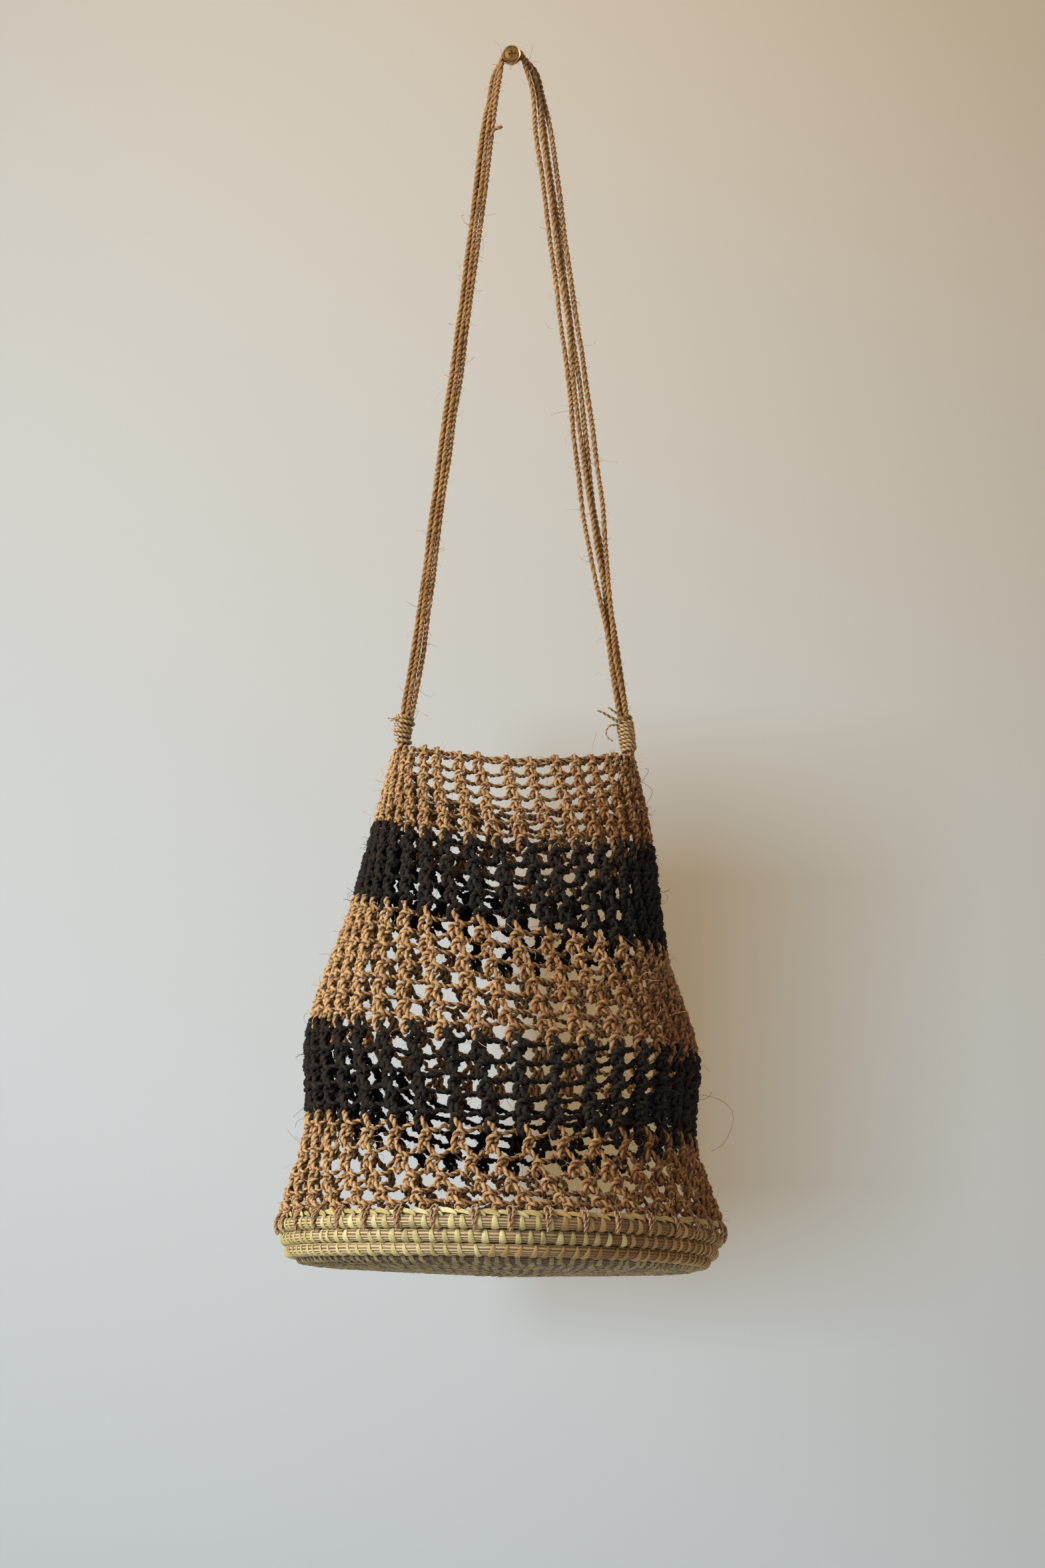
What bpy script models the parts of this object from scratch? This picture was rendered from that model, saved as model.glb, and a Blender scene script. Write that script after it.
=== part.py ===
"""Looped net bag on a coiled grass base, hung by a three-strand handle from a screw and cup washer.

Metres, +Z up. The wall is the plane y = 0 and the bag hangs on its -Y side. The origin is where the
screw's axis meets the wall.
"""

import math

import bmesh
import bpy
from mathutils import Euler, Matrix, Vector

GAP = 0.0003  # between pieces that touch
WELD = 0.00001  # points nearer than this are one
RIDGE_TOP = 0.22  # half of a cord ridge's flat top, as a share of its pitch

# The net, a shell that lofts from the flat slot of the rim to the round base
ROWS = 29  # looped rows from the rim to the base
NET_COLUMNS = 20  # gaps around: two real columns of loops each
NET_BANDS = (  # name, first row, end row, and rows of gaps: nearly two real rows each
    ("net_tan_top", 0, 7, 4),
    ("net_black_upper", 7, 12, 3),
    ("net_tan_middle", 12, 19, 4),
    ("net_black_lower", 19, 24, 3),
    ("net_tan_lower", 24, 29, 3),
)
BAND_SEAM = 0.055  # in rows: half the space between two bands
NET_THICK = 0.004
NET_TWIST = math.radians(40)  # the columns lean this far round on their way down
BAR_WIDTH = 0.21  # half of a column's width, as a share of the gaps' pitch
BAR_HEIGHT = 0.19  # half of a row's height, as a share of the gaps' pitch
LEAST_GAP = 0.0090  # narrower gaps stay closed, because the real loops there touch
CORNER_REACH = 0.01  # in columns: points nearer a corner than this are tied to its lashing

# The base: a shallow tray of one coil wound round and round, tilted as it hangs, its back edge at the wall
COIL = 0.0080  # from one turn of the coil to the next
COIL_SWELL = 0.0042  # from a turn's middle to its outside
COIL_VALLEY = 0.0029  # from the line of the turns' middles to the valley between two
SIDE_TURNS = (  # inward from the top turn's radius, and down from the top edge, of the turns' middles
    (0.0000, 0.0064),
    (0.0030, 0.0139),
    (0.0058, 0.0211),
    (0.0126, 0.0243),
    (0.0204, 0.0253),
    (0.0284, 0.0259),
)
UNDERSIDE_FALL = 0.034  # slope of the underside down to its middle
FLAT_RIDGE = 0.93  # a side turn's flat-topped ridge, as a share of the swell
INNER_WALL = ((0.0165, 0.0), (0.0085, 0.0040), (0.0042, 0.0110))  # inward from the top turn, above the floor
EDGE_BRAID = 0.0023  # braided straw along the top turn
BRAID_HALF = 0.0022  # half its width
BRAID_ROUND = 0.0006  # how far its sides lie under its middle
BASE_RADIUS = 0.1330  # to the middle of the top turn
BASE_PLACE = Vector((-0.0062, -0.1330, -0.7552))  # middle of the top edge
BASE_TILT = math.radians(13.9)  # front edge up
BASE_ROLL = math.radians(1.15)  # right edge down
BASE_STEPS = 36

# Net sections by row: half width, middle, front and back, the height at four places around, and how
# much the columns crowd towards the two sides. The last row follows from the base.
SECTION_COLUMNS = (
    "row", "half_width", "middle_x", "front_y", "back_y",
    "front_z", "right_z", "back_z", "left_z", "crowding",
)
SECTIONS = (
    (0, 0.0760, 0.0017, -0.082, -0.042, -0.4723, -0.4757, -0.5092, -0.4692, 0.33),
    (7, 0.0870, 0.0007, -0.122, -0.035, -0.5256, -0.5286, -0.5595, -0.5188, 0.27),
    (12, 0.0970, -0.0017, -0.157, -0.028, -0.5735, -0.5941, -0.6090, -0.5662, 0.22),
    (19, 0.1190, -0.0053, -0.203, -0.018, -0.6363, -0.6598, -0.7001, -0.6440, 0.15),
    (24, 0.1177, -0.0065, -0.234, -0.011, -0.6834, -0.7087, -0.7437, -0.6992, 0.08),
)

# The lashings that bind the handle to the net's two corners: top and bottom ends of their axes
LASHING_CORD = 0.0030
LASHING_LEFT = {
    "top": Vector((-0.0680, -0.0620, -0.4430)),
    "bottom": Vector((-0.0714, -0.0620, -0.4620)),
    "radius": 0.0062,
    "turns": 5,
}
LASHING_RIGHT = {
    "top": Vector((0.0727, -0.0620, -0.4430)),
    "bottom": Vector((0.0765, -0.0620, -0.4700)),
    "radius": 0.0060,
    "turns": 8,
}

# The handle: three strands side by side over the screw, which fan out and close up again at the corners
STRAND = 0.0038
STRAND_ZONES = {  # offsets in x and y of strands 1, 2 and 3 from the bundle's middle
    "left": ((0.0, 0.0026), (-0.0027, -0.0010), (0.0027, -0.0010)),
    "left_shoulder": ((0.0, 0.0042), (-0.0022, 0.0002), (0.0022, -0.0036)),
    "screw": ((0.0, 0.0042), (0.0, 0.0), (0.0, -0.0042)),
    "right_shoulder": ((0.0030, 0.0037), (0.0, 0.0), (-0.0030, -0.0037)),
    "right_fan": ((0.0055, 0.0005), (0.0, 0.0), (-0.0055, -0.0005)),
    "right": ((0.0027, -0.0010), (0.0, 0.0026), (-0.0027, -0.0010)),
}
STRAND_ROUTE = (  # x, y and z of the bundle's middle, from the left corner over the screw to the right
    ("left", -0.0675, -0.0617, -0.4416),
    ("left", -0.0585, -0.0550, -0.3850),
    ("left", -0.0495, -0.0457, -0.3110),
    ("left", -0.0360, -0.0333, -0.2120),
    ("left", -0.0240, -0.0212, -0.1150),
    ("left", -0.0162, -0.0130, -0.0500),
    ("left_shoulder", -0.0130, -0.0100, -0.0290),
    ("left_shoulder", -0.0104, -0.0082, -0.0130),
    ("screw", -0.0058, -0.0068, 0.0005),
    ("screw", 0.0, -0.0066, 0.0044),
    ("screw", 0.0066, -0.0068, 0.0016),
    ("right_shoulder", 0.0128, -0.0078, -0.0080),
    ("right_shoulder", 0.0175, -0.0100, -0.0260),
    ("right_fan", 0.0215, -0.0135, -0.0540),
    ("right_fan", 0.0283, -0.0200, -0.1042),
    ("right_fan", 0.0415, -0.0333, -0.2121),
    ("right_fan", 0.0515, -0.0423, -0.2839),
    ("right_fan", 0.0575, -0.0487, -0.3351),
    ("right", 0.0650, -0.0550, -0.3857),
    ("right", 0.0723, -0.0617, -0.4416),
)
STRAND_POINTS = 58  # along the smooth route
TUBE_ROUNDING = 2  # bevel resolution of every cord

# The screw on its shank, and the cup washer under its head
SHANK_RADIUS = 0.0023
WASHER_BACK = -0.0134  # y of the washer's flat underside
WASHER_RADIUS = 0.0063
WASHER_HEIGHT = 0.0034
HEAD_RADIUS = 0.0047
HEAD_DEPTH = 0.0030
HEAD_DOME = 0.0006  # the head's middle over its edge
HEAD_EDGE = 0.0005  # the short straight side of the head
DRIVE_DEPTH = 0.0016
DRIVE_REACH = 0.0024
DRIVE_WIDTH = 0.0010
DRIVE_TURN = 0.1  # how far the cross is turned
WASHER_ROLL = 0.0007  # the round of the washer's rim

# Free ends: radius, then the points of each one
TAIL_RADIUS = 0.0011
TAILS = {
    "tail_left": ((-0.0746, -0.0640, -0.4462), (-0.0775, -0.0655, -0.4450), (-0.0800, -0.0665, -0.4437)),
    "tail_right_long": (
        (0.0665, -0.0645, -0.4458), (0.0640, -0.0665, -0.4440), (0.0605, -0.0685, -0.4418),
        (0.0575, -0.0695, -0.4405), (0.0552, -0.0700, -0.4402),
    ),
    "tail_right_short": (
        (0.0673, -0.0664, -0.4437), (0.0651, -0.0688, -0.4405), (0.0622, -0.0705, -0.4368),
    ),
    "tail_right_hook": (
        (0.0664, -0.0632, -0.4490), (0.0636, -0.0655, -0.4484), (0.0610, -0.0672, -0.4505),
        (0.0602, -0.0680, -0.4540), (0.0614, -0.0685, -0.4573), (0.0645, -0.0690, -0.4602),
    ),
}
STUB_RADIUS = 0.0014
STUB = ((-0.0113, -0.0149, -0.0493), (-0.0085, -0.0160, -0.0489), (-0.0062, -0.0165, -0.0478))


def clear_scene():
    for obj in list(bpy.data.objects):
        bpy.data.objects.remove(obj, do_unlink=True)


def material(name, colour, roughness, metallic=0.0):
    made = bpy.data.materials.new(name)
    made.use_nodes = True
    shader = made.node_tree.nodes["Principled BSDF"]
    shader.inputs["Base Color"].default_value = (*colour, 1.0)
    shader.inputs["Roughness"].default_value = roughness
    shader.inputs["Metallic"].default_value = metallic
    return made


def add_object(name, data, collection, finish):
    obj = bpy.data.objects.new(name, data)
    collection.objects.link(obj)
    data.materials.append(finish)
    return obj


def smooth_route(points, count):
    """Evenly many points along a curve that runs smoothly through the given ones."""
    spans = len(points) - 1
    route = []
    for step in range(count):
        at = spans * step / (count - 1)
        i = min(int(at), spans - 1)
        t = at - i
        before, start = points[max(i - 1, 0)], points[i]
        end, after = points[i + 1], points[min(i + 2, spans)]
        leave, arrive = (end - before) / 2, (after - start) / 2
        route.append(
            start * (2 * t**3 - 3 * t**2 + 1)
            + leave * (t**3 - 2 * t**2 + t)
            + end * (3 * t**2 - 2 * t**3)
            + arrive * (t**3 - t**2)
        )
    return route


def tube(name, points, radius, collection, finish, ends=(1.0, 1.0)):
    """A round tube along the points; ends gives the size of its two ends."""
    curve = bpy.data.curves.new(name, "CURVE")
    curve.dimensions = "3D"
    curve.bevel_depth = radius
    curve.bevel_resolution = TUBE_ROUNDING
    curve.use_fill_caps = True
    spline = curve.splines.new("POLY")
    spline.points.add(len(points) - 1)
    for i, (spot, place) in enumerate(zip(spline.points, points)):
        share = i / (len(points) - 1)
        spot.co = (*place, 1.0)
        spot.radius = ends[0] + (ends[1] - ends[0]) * share
    return add_object(name, curve, collection, finish)


def turned(name, profile, steps, collection, finish):
    """A body of revolution about its Z axis, from a profile of (radius, height)."""
    mesh = bpy.data.meshes.new(name)
    mesh.from_pydata([(r, 0.0, z) for r, z in profile], [(i, i + 1) for i in range(len(profile) - 1)], [])
    obj = add_object(name, mesh, collection, finish)
    screw = obj.modifiers.new("Turn", "SCREW")
    screw.steps = steps
    screw.render_steps = steps
    screw.use_merge_vertices = True
    screw.merge_threshold = WELD
    screw.use_smooth_shade = True
    return obj


def stand_between(obj, bottom, top):
    """Turns a body made along +Z so that its axis runs from bottom to top."""
    obj.location = bottom
    obj.rotation_mode = "QUATERNION"
    obj.rotation_quaternion = (top - bottom).to_track_quat("Z", "Y")


# ---- net ----


def base_section():
    """The last row of the net: the base's top edge, seen from above."""
    depth = BASE_RADIUS * math.cos(BASE_TILT)
    rise = depth * math.tan(BASE_TILT)
    lean = BASE_RADIUS * math.tan(BASE_ROLL)
    x, y, z = BASE_PLACE
    z += GAP
    return (ROWS, BASE_RADIUS, x, y - depth, y + depth, z + rise, z - lean, z - rise, z + lean, 0.0)


def section(row):
    """Every named value of the net's cross-section at a row, on a smooth curve through the table."""
    table = (*SECTIONS, base_section())
    i = max(k for k in range(len(table) - 1) if table[k][0] <= row)
    span = table[i + 1][0] - table[i][0]
    t = (row - table[i][0]) / span
    values = []
    for k in range(1, len(SECTION_COLUMNS)):
        slopes = [
            (table[j + 1][k] - table[j][k]) / (table[j + 1][0] - table[j][0])
            for j in (max(i - 1, 0), i, min(i + 1, len(table) - 2))
        ]
        leave = (slopes[0] + slopes[1]) / 2 * span
        arrive = (slopes[1] + slopes[2]) / 2 * span
        values.append(
            table[i][k] * (2 * t**3 - 3 * t**2 + 1)
            + leave * (t**3 - 2 * t**2 + t)
            + table[i + 1][k] * (3 * t**2 - 2 * t**3)
            + arrive * (t**3 - t**2)
        )
    return dict(zip(SECTION_COLUMNS[1:], values))


def net_point(angle, row):
    """The net's middle surface; angle is 0 at the front and grows towards +X, row 0 is the rim."""
    at = section(row)
    turn = angle + at["crowding"] / 2 * math.sin(2 * angle)
    across, along = math.sin(turn), math.cos(turn)
    middle_y = (at["front_y"] + at["back_y"]) / 2
    half_depth = (at["back_y"] - at["front_y"]) / 2
    mean_z = (at["front_z"] + at["back_z"] + at["right_z"] + at["left_z"]) / 4
    pinch_z = (at["front_z"] + at["back_z"] - at["right_z"] - at["left_z"]) / 4
    height = (
        mean_z
        + (at["front_z"] - at["back_z"]) / 2 * along
        + (at["right_z"] - at["left_z"]) / 2 * across
        + pinch_z * math.cos(2 * turn)
    )
    return Vector((at["middle_x"] + at["half_width"] * across, middle_y - half_depth * along, height))


def net_band(name, first, end, gap_rows, collection, finish):
    """Gaps are inset in a flat grid, one unit a column wide, which is then wrapped onto the surface."""
    cell_height = BAR_WIDTH / BAR_HEIGHT
    top_row = first + BAND_SEAM if first > 0 else first
    end_row = end - BAND_SEAM if end < ROWS else end
    bm = bmesh.new()
    bmesh.ops.create_grid(bm, x_segments=NET_COLUMNS, y_segments=gap_rows, size=0.5)
    bmesh.ops.scale(bm, vec=(NET_COLUMNS, gap_rows * cell_height, 1.0), verts=bm.verts)

    def wrapped(place):
        share = min(max(0.5 - place.y / (gap_rows * cell_height), 0.0), 1.0)
        row = top_row + (end_row - top_row) * share
        angle = place.x / NET_COLUMNS * math.tau + NET_TWIST * row / ROWS
        return net_point(angle, row)

    def is_open(face):
        xs = [v.co.x for v in face.verts]
        ys = [v.co.y for v in face.verts]
        mid_y = (min(ys) + max(ys)) / 2
        width = wrapped(Vector((max(xs), mid_y, 0))) - wrapped(Vector((min(xs), mid_y, 0)))
        return width.length * (1 - 2 * BAR_WIDTH) > LEAST_GAP

    gaps = [face for face in bm.faces if is_open(face)]
    bmesh.ops.inset_individual(bm, faces=gaps, thickness=BAR_WIDTH, use_even_offset=True)
    bmesh.ops.delete(bm, geom=gaps, context="FACES_ONLY")
    corners = {-1: LASHING_LEFT["bottom"], 1: LASHING_RIGHT["bottom"]}
    quarter = NET_COLUMNS / 4
    top = gap_rows * cell_height / 2
    for vert in bm.verts:
        flat = vert.co.copy()
        vert.co = wrapped(flat)
        for side, tie in corners.items():
            at_corner = abs(flat.x - side * quarter) < CORNER_REACH and top - flat.y < CORNER_REACH
            if first == 0 and at_corner:
                vert.co.z = tie.z - 2 * GAP
    bmesh.ops.remove_doubles(bm, verts=bm.verts, dist=WELD)
    bmesh.ops.recalc_face_normals(bm, faces=bm.faces)
    mesh = bpy.data.meshes.new(name)
    bm.to_mesh(mesh)
    bm.free()
    mesh.shade_smooth()
    obj = add_object(name, mesh, collection, finish)
    shell = obj.modifiers.new("Net thickness", "SOLIDIFY")
    shell.thickness = NET_THICK
    shell.offset = 0.0
    return obj


# ---- base ----


def turn_middles():
    """Radius and height of each turn of the coil, from the top edge down the side and in to the middle."""
    middles = [Vector((BASE_RADIUS - inward, -down)) for inward, down in SIDE_TURNS]
    while middles[-1].x > COIL:
        middles.append(middles[-1] - Vector((COIL, COIL * UNDERSIDE_FALL)))
    return middles


def tray_outside():
    """The side and underside: a swelling for each turn of the coil, and a valley between two turns."""
    middles = turn_middles()
    outside = []
    for i, middle in enumerate(middles[:-1]):
        along = (middles[i + 1] - middle).normalized()
        facing = Vector((-along.y, along.x))
        if i < len(SIDE_TURNS) - 1:
            ridge = middle + facing * COIL_SWELL * FLAT_RIDGE
            outside.append(ridge - along * COIL * RIDGE_TOP)
            outside.append(ridge + along * COIL * RIDGE_TOP)
        else:
            outside.append(middle + facing * COIL_SWELL)
        outside.append((middle + middles[i + 1]) / 2 + facing * COIL_VALLEY)
    bottom = middles[-1].y - COIL_SWELL
    return outside + [Vector((middles[-1].x, bottom)), Vector((0.0, bottom))]


def coiled_base(collection, finish):
    """A shallow tray: floor, inner wall, braided edge, then the coil's turns outside and below."""
    edge = Vector((BASE_RADIUS, -GAP))
    floor = -SIDE_TURNS[-1][1] + COIL / 2
    inside = [Vector((0.0, floor - BASE_RADIUS * UNDERSIDE_FALL))]
    inside += [Vector((BASE_RADIUS - inward, floor + up)) for inward, up in INNER_WALL]
    inside.append(Vector((BASE_RADIUS - COIL_SWELL, -2 * EDGE_BRAID)))
    braid = [edge + Vector((-BRAID_HALF, -BRAID_ROUND)), edge, edge + Vector((BRAID_HALF, -BRAID_ROUND))]
    shoulder = [edge + Vector((BRAID_HALF + BRAID_ROUND, -EDGE_BRAID))]
    profile = inside + braid + shoulder + tray_outside()
    obj = turned("coiled_base", profile, BASE_STEPS, collection, finish)
    obj.location = BASE_PLACE
    obj.rotation_euler = Euler((-BASE_TILT, BASE_ROLL, 0.0))
    return obj


# ---- handle and its lashings ----


def lashing(name, size, collection, finish):
    """A wound binding: a turned barrel with one ridge for each turn of cord."""
    length = (size["top"] - size["bottom"]).length
    pitch = length / size["turns"]
    core = size["radius"] - LASHING_CORD / 2
    profile = [(0.0, length)]
    for turn in range(size["turns"]):
        middle = length - pitch * (turn + 0.5)
        profile += [
            (core, middle + pitch / 2),
            (size["radius"], middle + pitch * RIDGE_TOP),
            (size["radius"], middle - pitch * RIDGE_TOP),
        ]
    profile += [(core, 0.0), (0.0, 0.0)]
    obj = turned(name, profile, 16, collection, finish)
    stand_between(obj, size["bottom"], size["top"])
    return obj


def strand_route(number):
    """The hand-chosen points of one strand of the handle."""
    points = []
    for zone, x, y, z in STRAND_ROUTE:
        aside, back = STRAND_ZONES[zone][number]
        points.append(Vector((x + aside, y + back, z)))
    return points


def handle(collection, finish):
    for number in range(3):
        route = smooth_route(strand_route(number), STRAND_POINTS)
        tube(f"handle_strand_{number + 1}", route, STRAND / 2, collection, finish)


def free_ends(collection, lashing_finish, strand_finish):
    for name, points in TAILS.items():
        route = smooth_route([Vector(p) for p in points], 3 * len(points))
        tube(name, route, TAIL_RADIUS, collection, lashing_finish, ends=(1.0, 0.75))
    stub = smooth_route([Vector(p) for p in STUB], 6)
    tube("strand_stub", stub, STUB_RADIUS, collection, strand_finish, ends=(0.8, 1.25))


# ---- screw ----


def screw(collection, cutters, finish):
    """Shank and countersunk head in one, turned along Z and then laid along -Y, with a cross recess."""
    top = -WASHER_BACK + WASHER_HEIGHT
    seat = top - HEAD_DEPTH
    profile = [
        (0.0, top + HEAD_DOME),
        (HEAD_RADIUS * 0.55, top + HEAD_DOME * 0.7),
        (HEAD_RADIUS, top),
        (HEAD_RADIUS, top - HEAD_EDGE),
        (SHANK_RADIUS, seat),
        (SHANK_RADIUS, 0.0),
        (0.0, 0.0),
    ]
    obj = turned("screw", profile, 24, collection, finish)
    obj.rotation_euler = Euler((math.radians(90), 0.0, 0.0))
    for number, turn in enumerate((DRIVE_TURN, DRIVE_TURN + math.pi / 2)):
        bm = bmesh.new()
        bmesh.ops.create_cube(bm, size=1.0)
        shape = Matrix.Diagonal((2 * DRIVE_REACH, DRIVE_WIDTH, 2 * DRIVE_DEPTH, 1.0))
        place = Matrix.Translation((0.0, -top - HEAD_DOME, 0.0))
        facing = Matrix.Rotation(math.radians(90), 4, "X")
        bm.transform(place @ facing @ Matrix.Rotation(turn, 4, "Z") @ shape)
        mesh = bpy.data.meshes.new(f"drive_cutter_{number}")
        bm.to_mesh(mesh)
        bm.free()
        cutter = bpy.data.objects.new(mesh.name, mesh)
        cutters.objects.link(cutter)
        cutter.hide_render = True
        cutter.display_type = "WIRE"
        cut = obj.modifiers.new(f"Drive {number}", "BOOLEAN")
        cut.operation = "DIFFERENCE"
        cut.object = cutter


def cup_washer(collection, finish):
    """A pressed ring with a rolled rim, which the head sinks into."""
    hole = SHANK_RADIUS + GAP
    seat = HEAD_RADIUS + GAP
    seat_height = WASHER_HEIGHT - WASHER_ROLL
    profile = [
        (seat, WASHER_HEIGHT),
        (seat + WASHER_ROLL, WASHER_HEIGHT + GAP),
        (WASHER_RADIUS - WASHER_ROLL / 2, seat_height),
        (WASHER_RADIUS, WASHER_HEIGHT - 3 * WASHER_ROLL),
        (WASHER_RADIUS, 0.0),
        (hole, 0.0),
        (hole, WASHER_HEIGHT - HEAD_DEPTH - GAP),
        (seat, seat_height),
        (seat, WASHER_HEIGHT),
    ]
    obj = turned("cup_washer", profile, 32, collection, finish)
    obj.location = (0.0, WASHER_BACK, 0.0)
    obj.rotation_euler = Euler((math.radians(90), 0.0, 0.0))


def main():
    clear_scene()
    bag = bpy.data.collections.new("Net bag")
    cutters = bpy.data.collections.new("Cutters")
    for collection in (bag, cutters):
        bpy.context.scene.collection.children.link(collection)
    cord = material("Tan sisal cord", (0.45, 0.26, 0.11), 0.85)
    dyed = material("Black dyed cord", (0.02, 0.018, 0.016), 0.85)
    binding = material("Pale lashing cord", (0.47, 0.36, 0.22), 0.85)
    grass = material("Straw and grass coil", (0.50, 0.42, 0.18), 0.7)
    brass = material("Yellow plated steel", (0.55, 0.36, 0.14), 0.35, 1.0)
    for name, first, end, gap_rows in NET_BANDS:
        net_band(name, first, end, gap_rows, bag, dyed if "black" in name else cord)
    coiled_base(bag, grass)
    lashing("lashing_left", LASHING_LEFT, bag, binding)
    lashing("lashing_right", LASHING_RIGHT, bag, binding)
    handle(bag, cord)
    free_ends(bag, binding, cord)
    screw(bag, cutters, brass)
    cup_washer(bag, brass)


main()
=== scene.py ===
"""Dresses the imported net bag: twisted cord, looped net, coiled and stitched base, screw and stage."""

import math
import random

import bmesh
import bpy
import numpy as np
from mathutils import Euler, Matrix, Vector


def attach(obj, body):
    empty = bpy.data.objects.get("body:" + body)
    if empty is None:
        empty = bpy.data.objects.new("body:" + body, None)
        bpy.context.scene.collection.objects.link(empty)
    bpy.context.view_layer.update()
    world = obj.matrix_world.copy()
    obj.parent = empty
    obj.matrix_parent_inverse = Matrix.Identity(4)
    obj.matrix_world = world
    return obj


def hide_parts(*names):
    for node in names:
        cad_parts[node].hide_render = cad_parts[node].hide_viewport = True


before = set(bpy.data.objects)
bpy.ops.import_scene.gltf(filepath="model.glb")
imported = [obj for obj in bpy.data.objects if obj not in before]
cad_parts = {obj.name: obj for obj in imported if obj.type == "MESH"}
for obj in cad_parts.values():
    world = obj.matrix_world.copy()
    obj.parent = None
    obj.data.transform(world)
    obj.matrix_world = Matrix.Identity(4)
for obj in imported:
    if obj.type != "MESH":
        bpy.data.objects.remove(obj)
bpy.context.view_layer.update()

# New colours are shown as they are set, with no film curve over them
bpy.context.scene.view_settings.view_transform = "Standard"


# ---- camera ----
# It stands level and square to the wall, at the height of the bag's middle and 1.47 m out, so that the
# whole bag fills most of an upright frame.


def in_scene(data):
    """A new object that shows the data, under the data's name."""
    shown = bpy.data.objects.new(data.name, data)
    bpy.context.collection.objects.link(shown)
    return shown


view_data = bpy.data.cameras.new("view")
view_data.lens = 50.0
view_data.sensor_width = 36.0
view = in_scene(view_data)
view.location = (0.0071, -1.47, -0.4872)
view.rotation_euler = (math.radians(90), 0.0, 0.0)
bpy.context.scene.camera = view


# ---- handle ----
# Four cords of tan plant fibre, each of two plies laid up with a right-handed twist. They run side by side
# from one corner of the net over the screw to the other. Two of them cling together for most of the way.

STRANDS = (  # diameter of each, and the solid that it stands for
    (0.0036, "handle_strand_1"), (0.0036, "handle_strand_2"),
    (0.0035, "handle_strand_3"), (0.0035, "handle_strand_2"),
)
STRAND_LAY = 0.0084  # length of one full turn of the plies
STRAND_STEP = 0.0022
STRAND_FINE = 900  # points of the smooth line that the steps are measured along
STRAND_WOBBLE = 9  # steps from one thick or thin place to the next
STRAND_DRIFT = 0.0004  # how far a cord strays from its line
DRIFT_STEPS = 12  # from one place to the next where it strays
DRIFT_EASE = 20  # steps over which it comes to stray, past each end
DRIFT_BELOW, DRIFT_FALL = -0.03, 0.05  # the height under which it strays, and the fall to where it does fully
STRAND_OFFSETS = {  # of the four in x and y from the bundle's middle, in mm
    "left": ((-1.4, 3.0), (-3.0, -0.4), (3.1, -0.8), (0.2, -1.4)),
    "left_shoulder": ((0.0, 4.4), (-2.4, 1.3), (2.4, -4.2), (0.2, -1.4)),
    "screw": ((0.0, 4.4), (0.0, 1.5), (0.0, -4.3), (0.0, -1.4)),
    "right_shoulder": ((3.4, 4.2), (0.8, 1.4), (-3.4, -4.2), (0.2, -1.4)),
    "right_top": ((5.2, 1.0), (1.0, 1.0), (-5.2, -1.0), (-0.8, -1.2)),
    "right_middle": ((6.1, 0.5), (2.0, 0.0), (-4.9, 0.0), (-1.9, -0.8)),
    "right_fan": ((6.0, 0.5), (-0.4, 0.3), (-7.6, 0.0), (-3.2, -0.8)),
    "right_low": ((4.9, 0.0), (0.6, 1.6), (-6.7, 0.0), (-1.0, -1.4)),
    "right": ((1.2, -1.2), (2.1, 2.2), (-2.8, -0.8), (-1.0, 2.3)),
    "bound": ((1.5, -1.2), (1.4, 1.6), (-1.5, -1.2), (-1.4, 1.6)),
}
STRAND_ROUTE = (  # x, y and z in mm of the bundle's middle, from inside one lashing to inside the other
    ("bound", -69.0, -61.9, -449.0), ("left", -67.5, -61.7, -441.6),
    ("left", -58.5, -55.0, -385.0), ("left", -49.5, -45.7, -311.0),
    ("left", -36.0, -33.3, -212.0), ("left", -24.0, -21.2, -115.0),
    ("left", -16.2, -13.0, -50.0), ("left_shoulder", -13.0, -10.0, -29.0),
    ("left_shoulder", -10.4, -8.2, -13.0), ("screw", -5.8, -6.8, 0.5),
    ("screw", 0.0, -6.6, 4.4), ("screw", 6.6, -6.8, 1.6),
    ("right_shoulder", 12.8, -7.8, -8.0), ("right_shoulder", 17.5, -10.0, -26.0),
    ("right_top", 21.5, -13.5, -54.0), ("right_top", 28.0, -20.0, -104.2),
    ("right_top", 37.5, -29.5, -179.5), ("right_middle", 41.5, -33.3, -212.1),
    ("right_fan", 51.5, -42.3, -283.9), ("right_low", 57.5, -48.7, -335.1),
    ("right", 64.2, -55.0, -385.7), ("right", 72.3, -61.7, -441.6),
    ("bound", 73.6, -61.9, -449.0),
)
TWIST_SWINGS = ((0.9, 134), (0.5, 299))  # radians that the twist leads and lags by, and its swings a metre
WELD = 0.00001  # points nearer than this are one


def eased(start, end, share):
    """A value that leaves start and reaches end gently."""
    return start + (end - start) * share * share * (3 - 2 * share)


def cubic(start, leave, end, arrive, t):
    """A value t of the way from start to end, which leaves one and reaches the other at the given slopes."""
    return (
        start * (2 * t**3 - 3 * t**2 + 1) + leave * (t**3 - 2 * t**2 + t)
        + end * (3 * t**2 - 2 * t**3) + arrive * (t**3 - t**2)
    )


def from_mm(points):
    """The points in metres."""
    return [Vector([value / 1000 for value in point]) for point in points]


def smooth_route(points, count):
    """Evenly many points along a curve that runs smoothly through the given ones."""
    spans = len(points) - 1
    route = []
    for step in range(count):
        at = spans * step / (count - 1)
        i = min(int(at), spans - 1)
        before, start = points[max(i - 1, 0)], points[i]
        end, after = points[i + 1], points[min(i + 2, spans)]
        route.append(cubic(start, (end - before) / 2, end, (after - start) / 2, at - i))
    return route


def lengths_along(points):
    """How far each point lies along the route."""
    steps = np.linalg.norm(np.diff(points, axis=0), axis=1)
    return np.concatenate(([0.0], np.cumsum(steps)))


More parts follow.
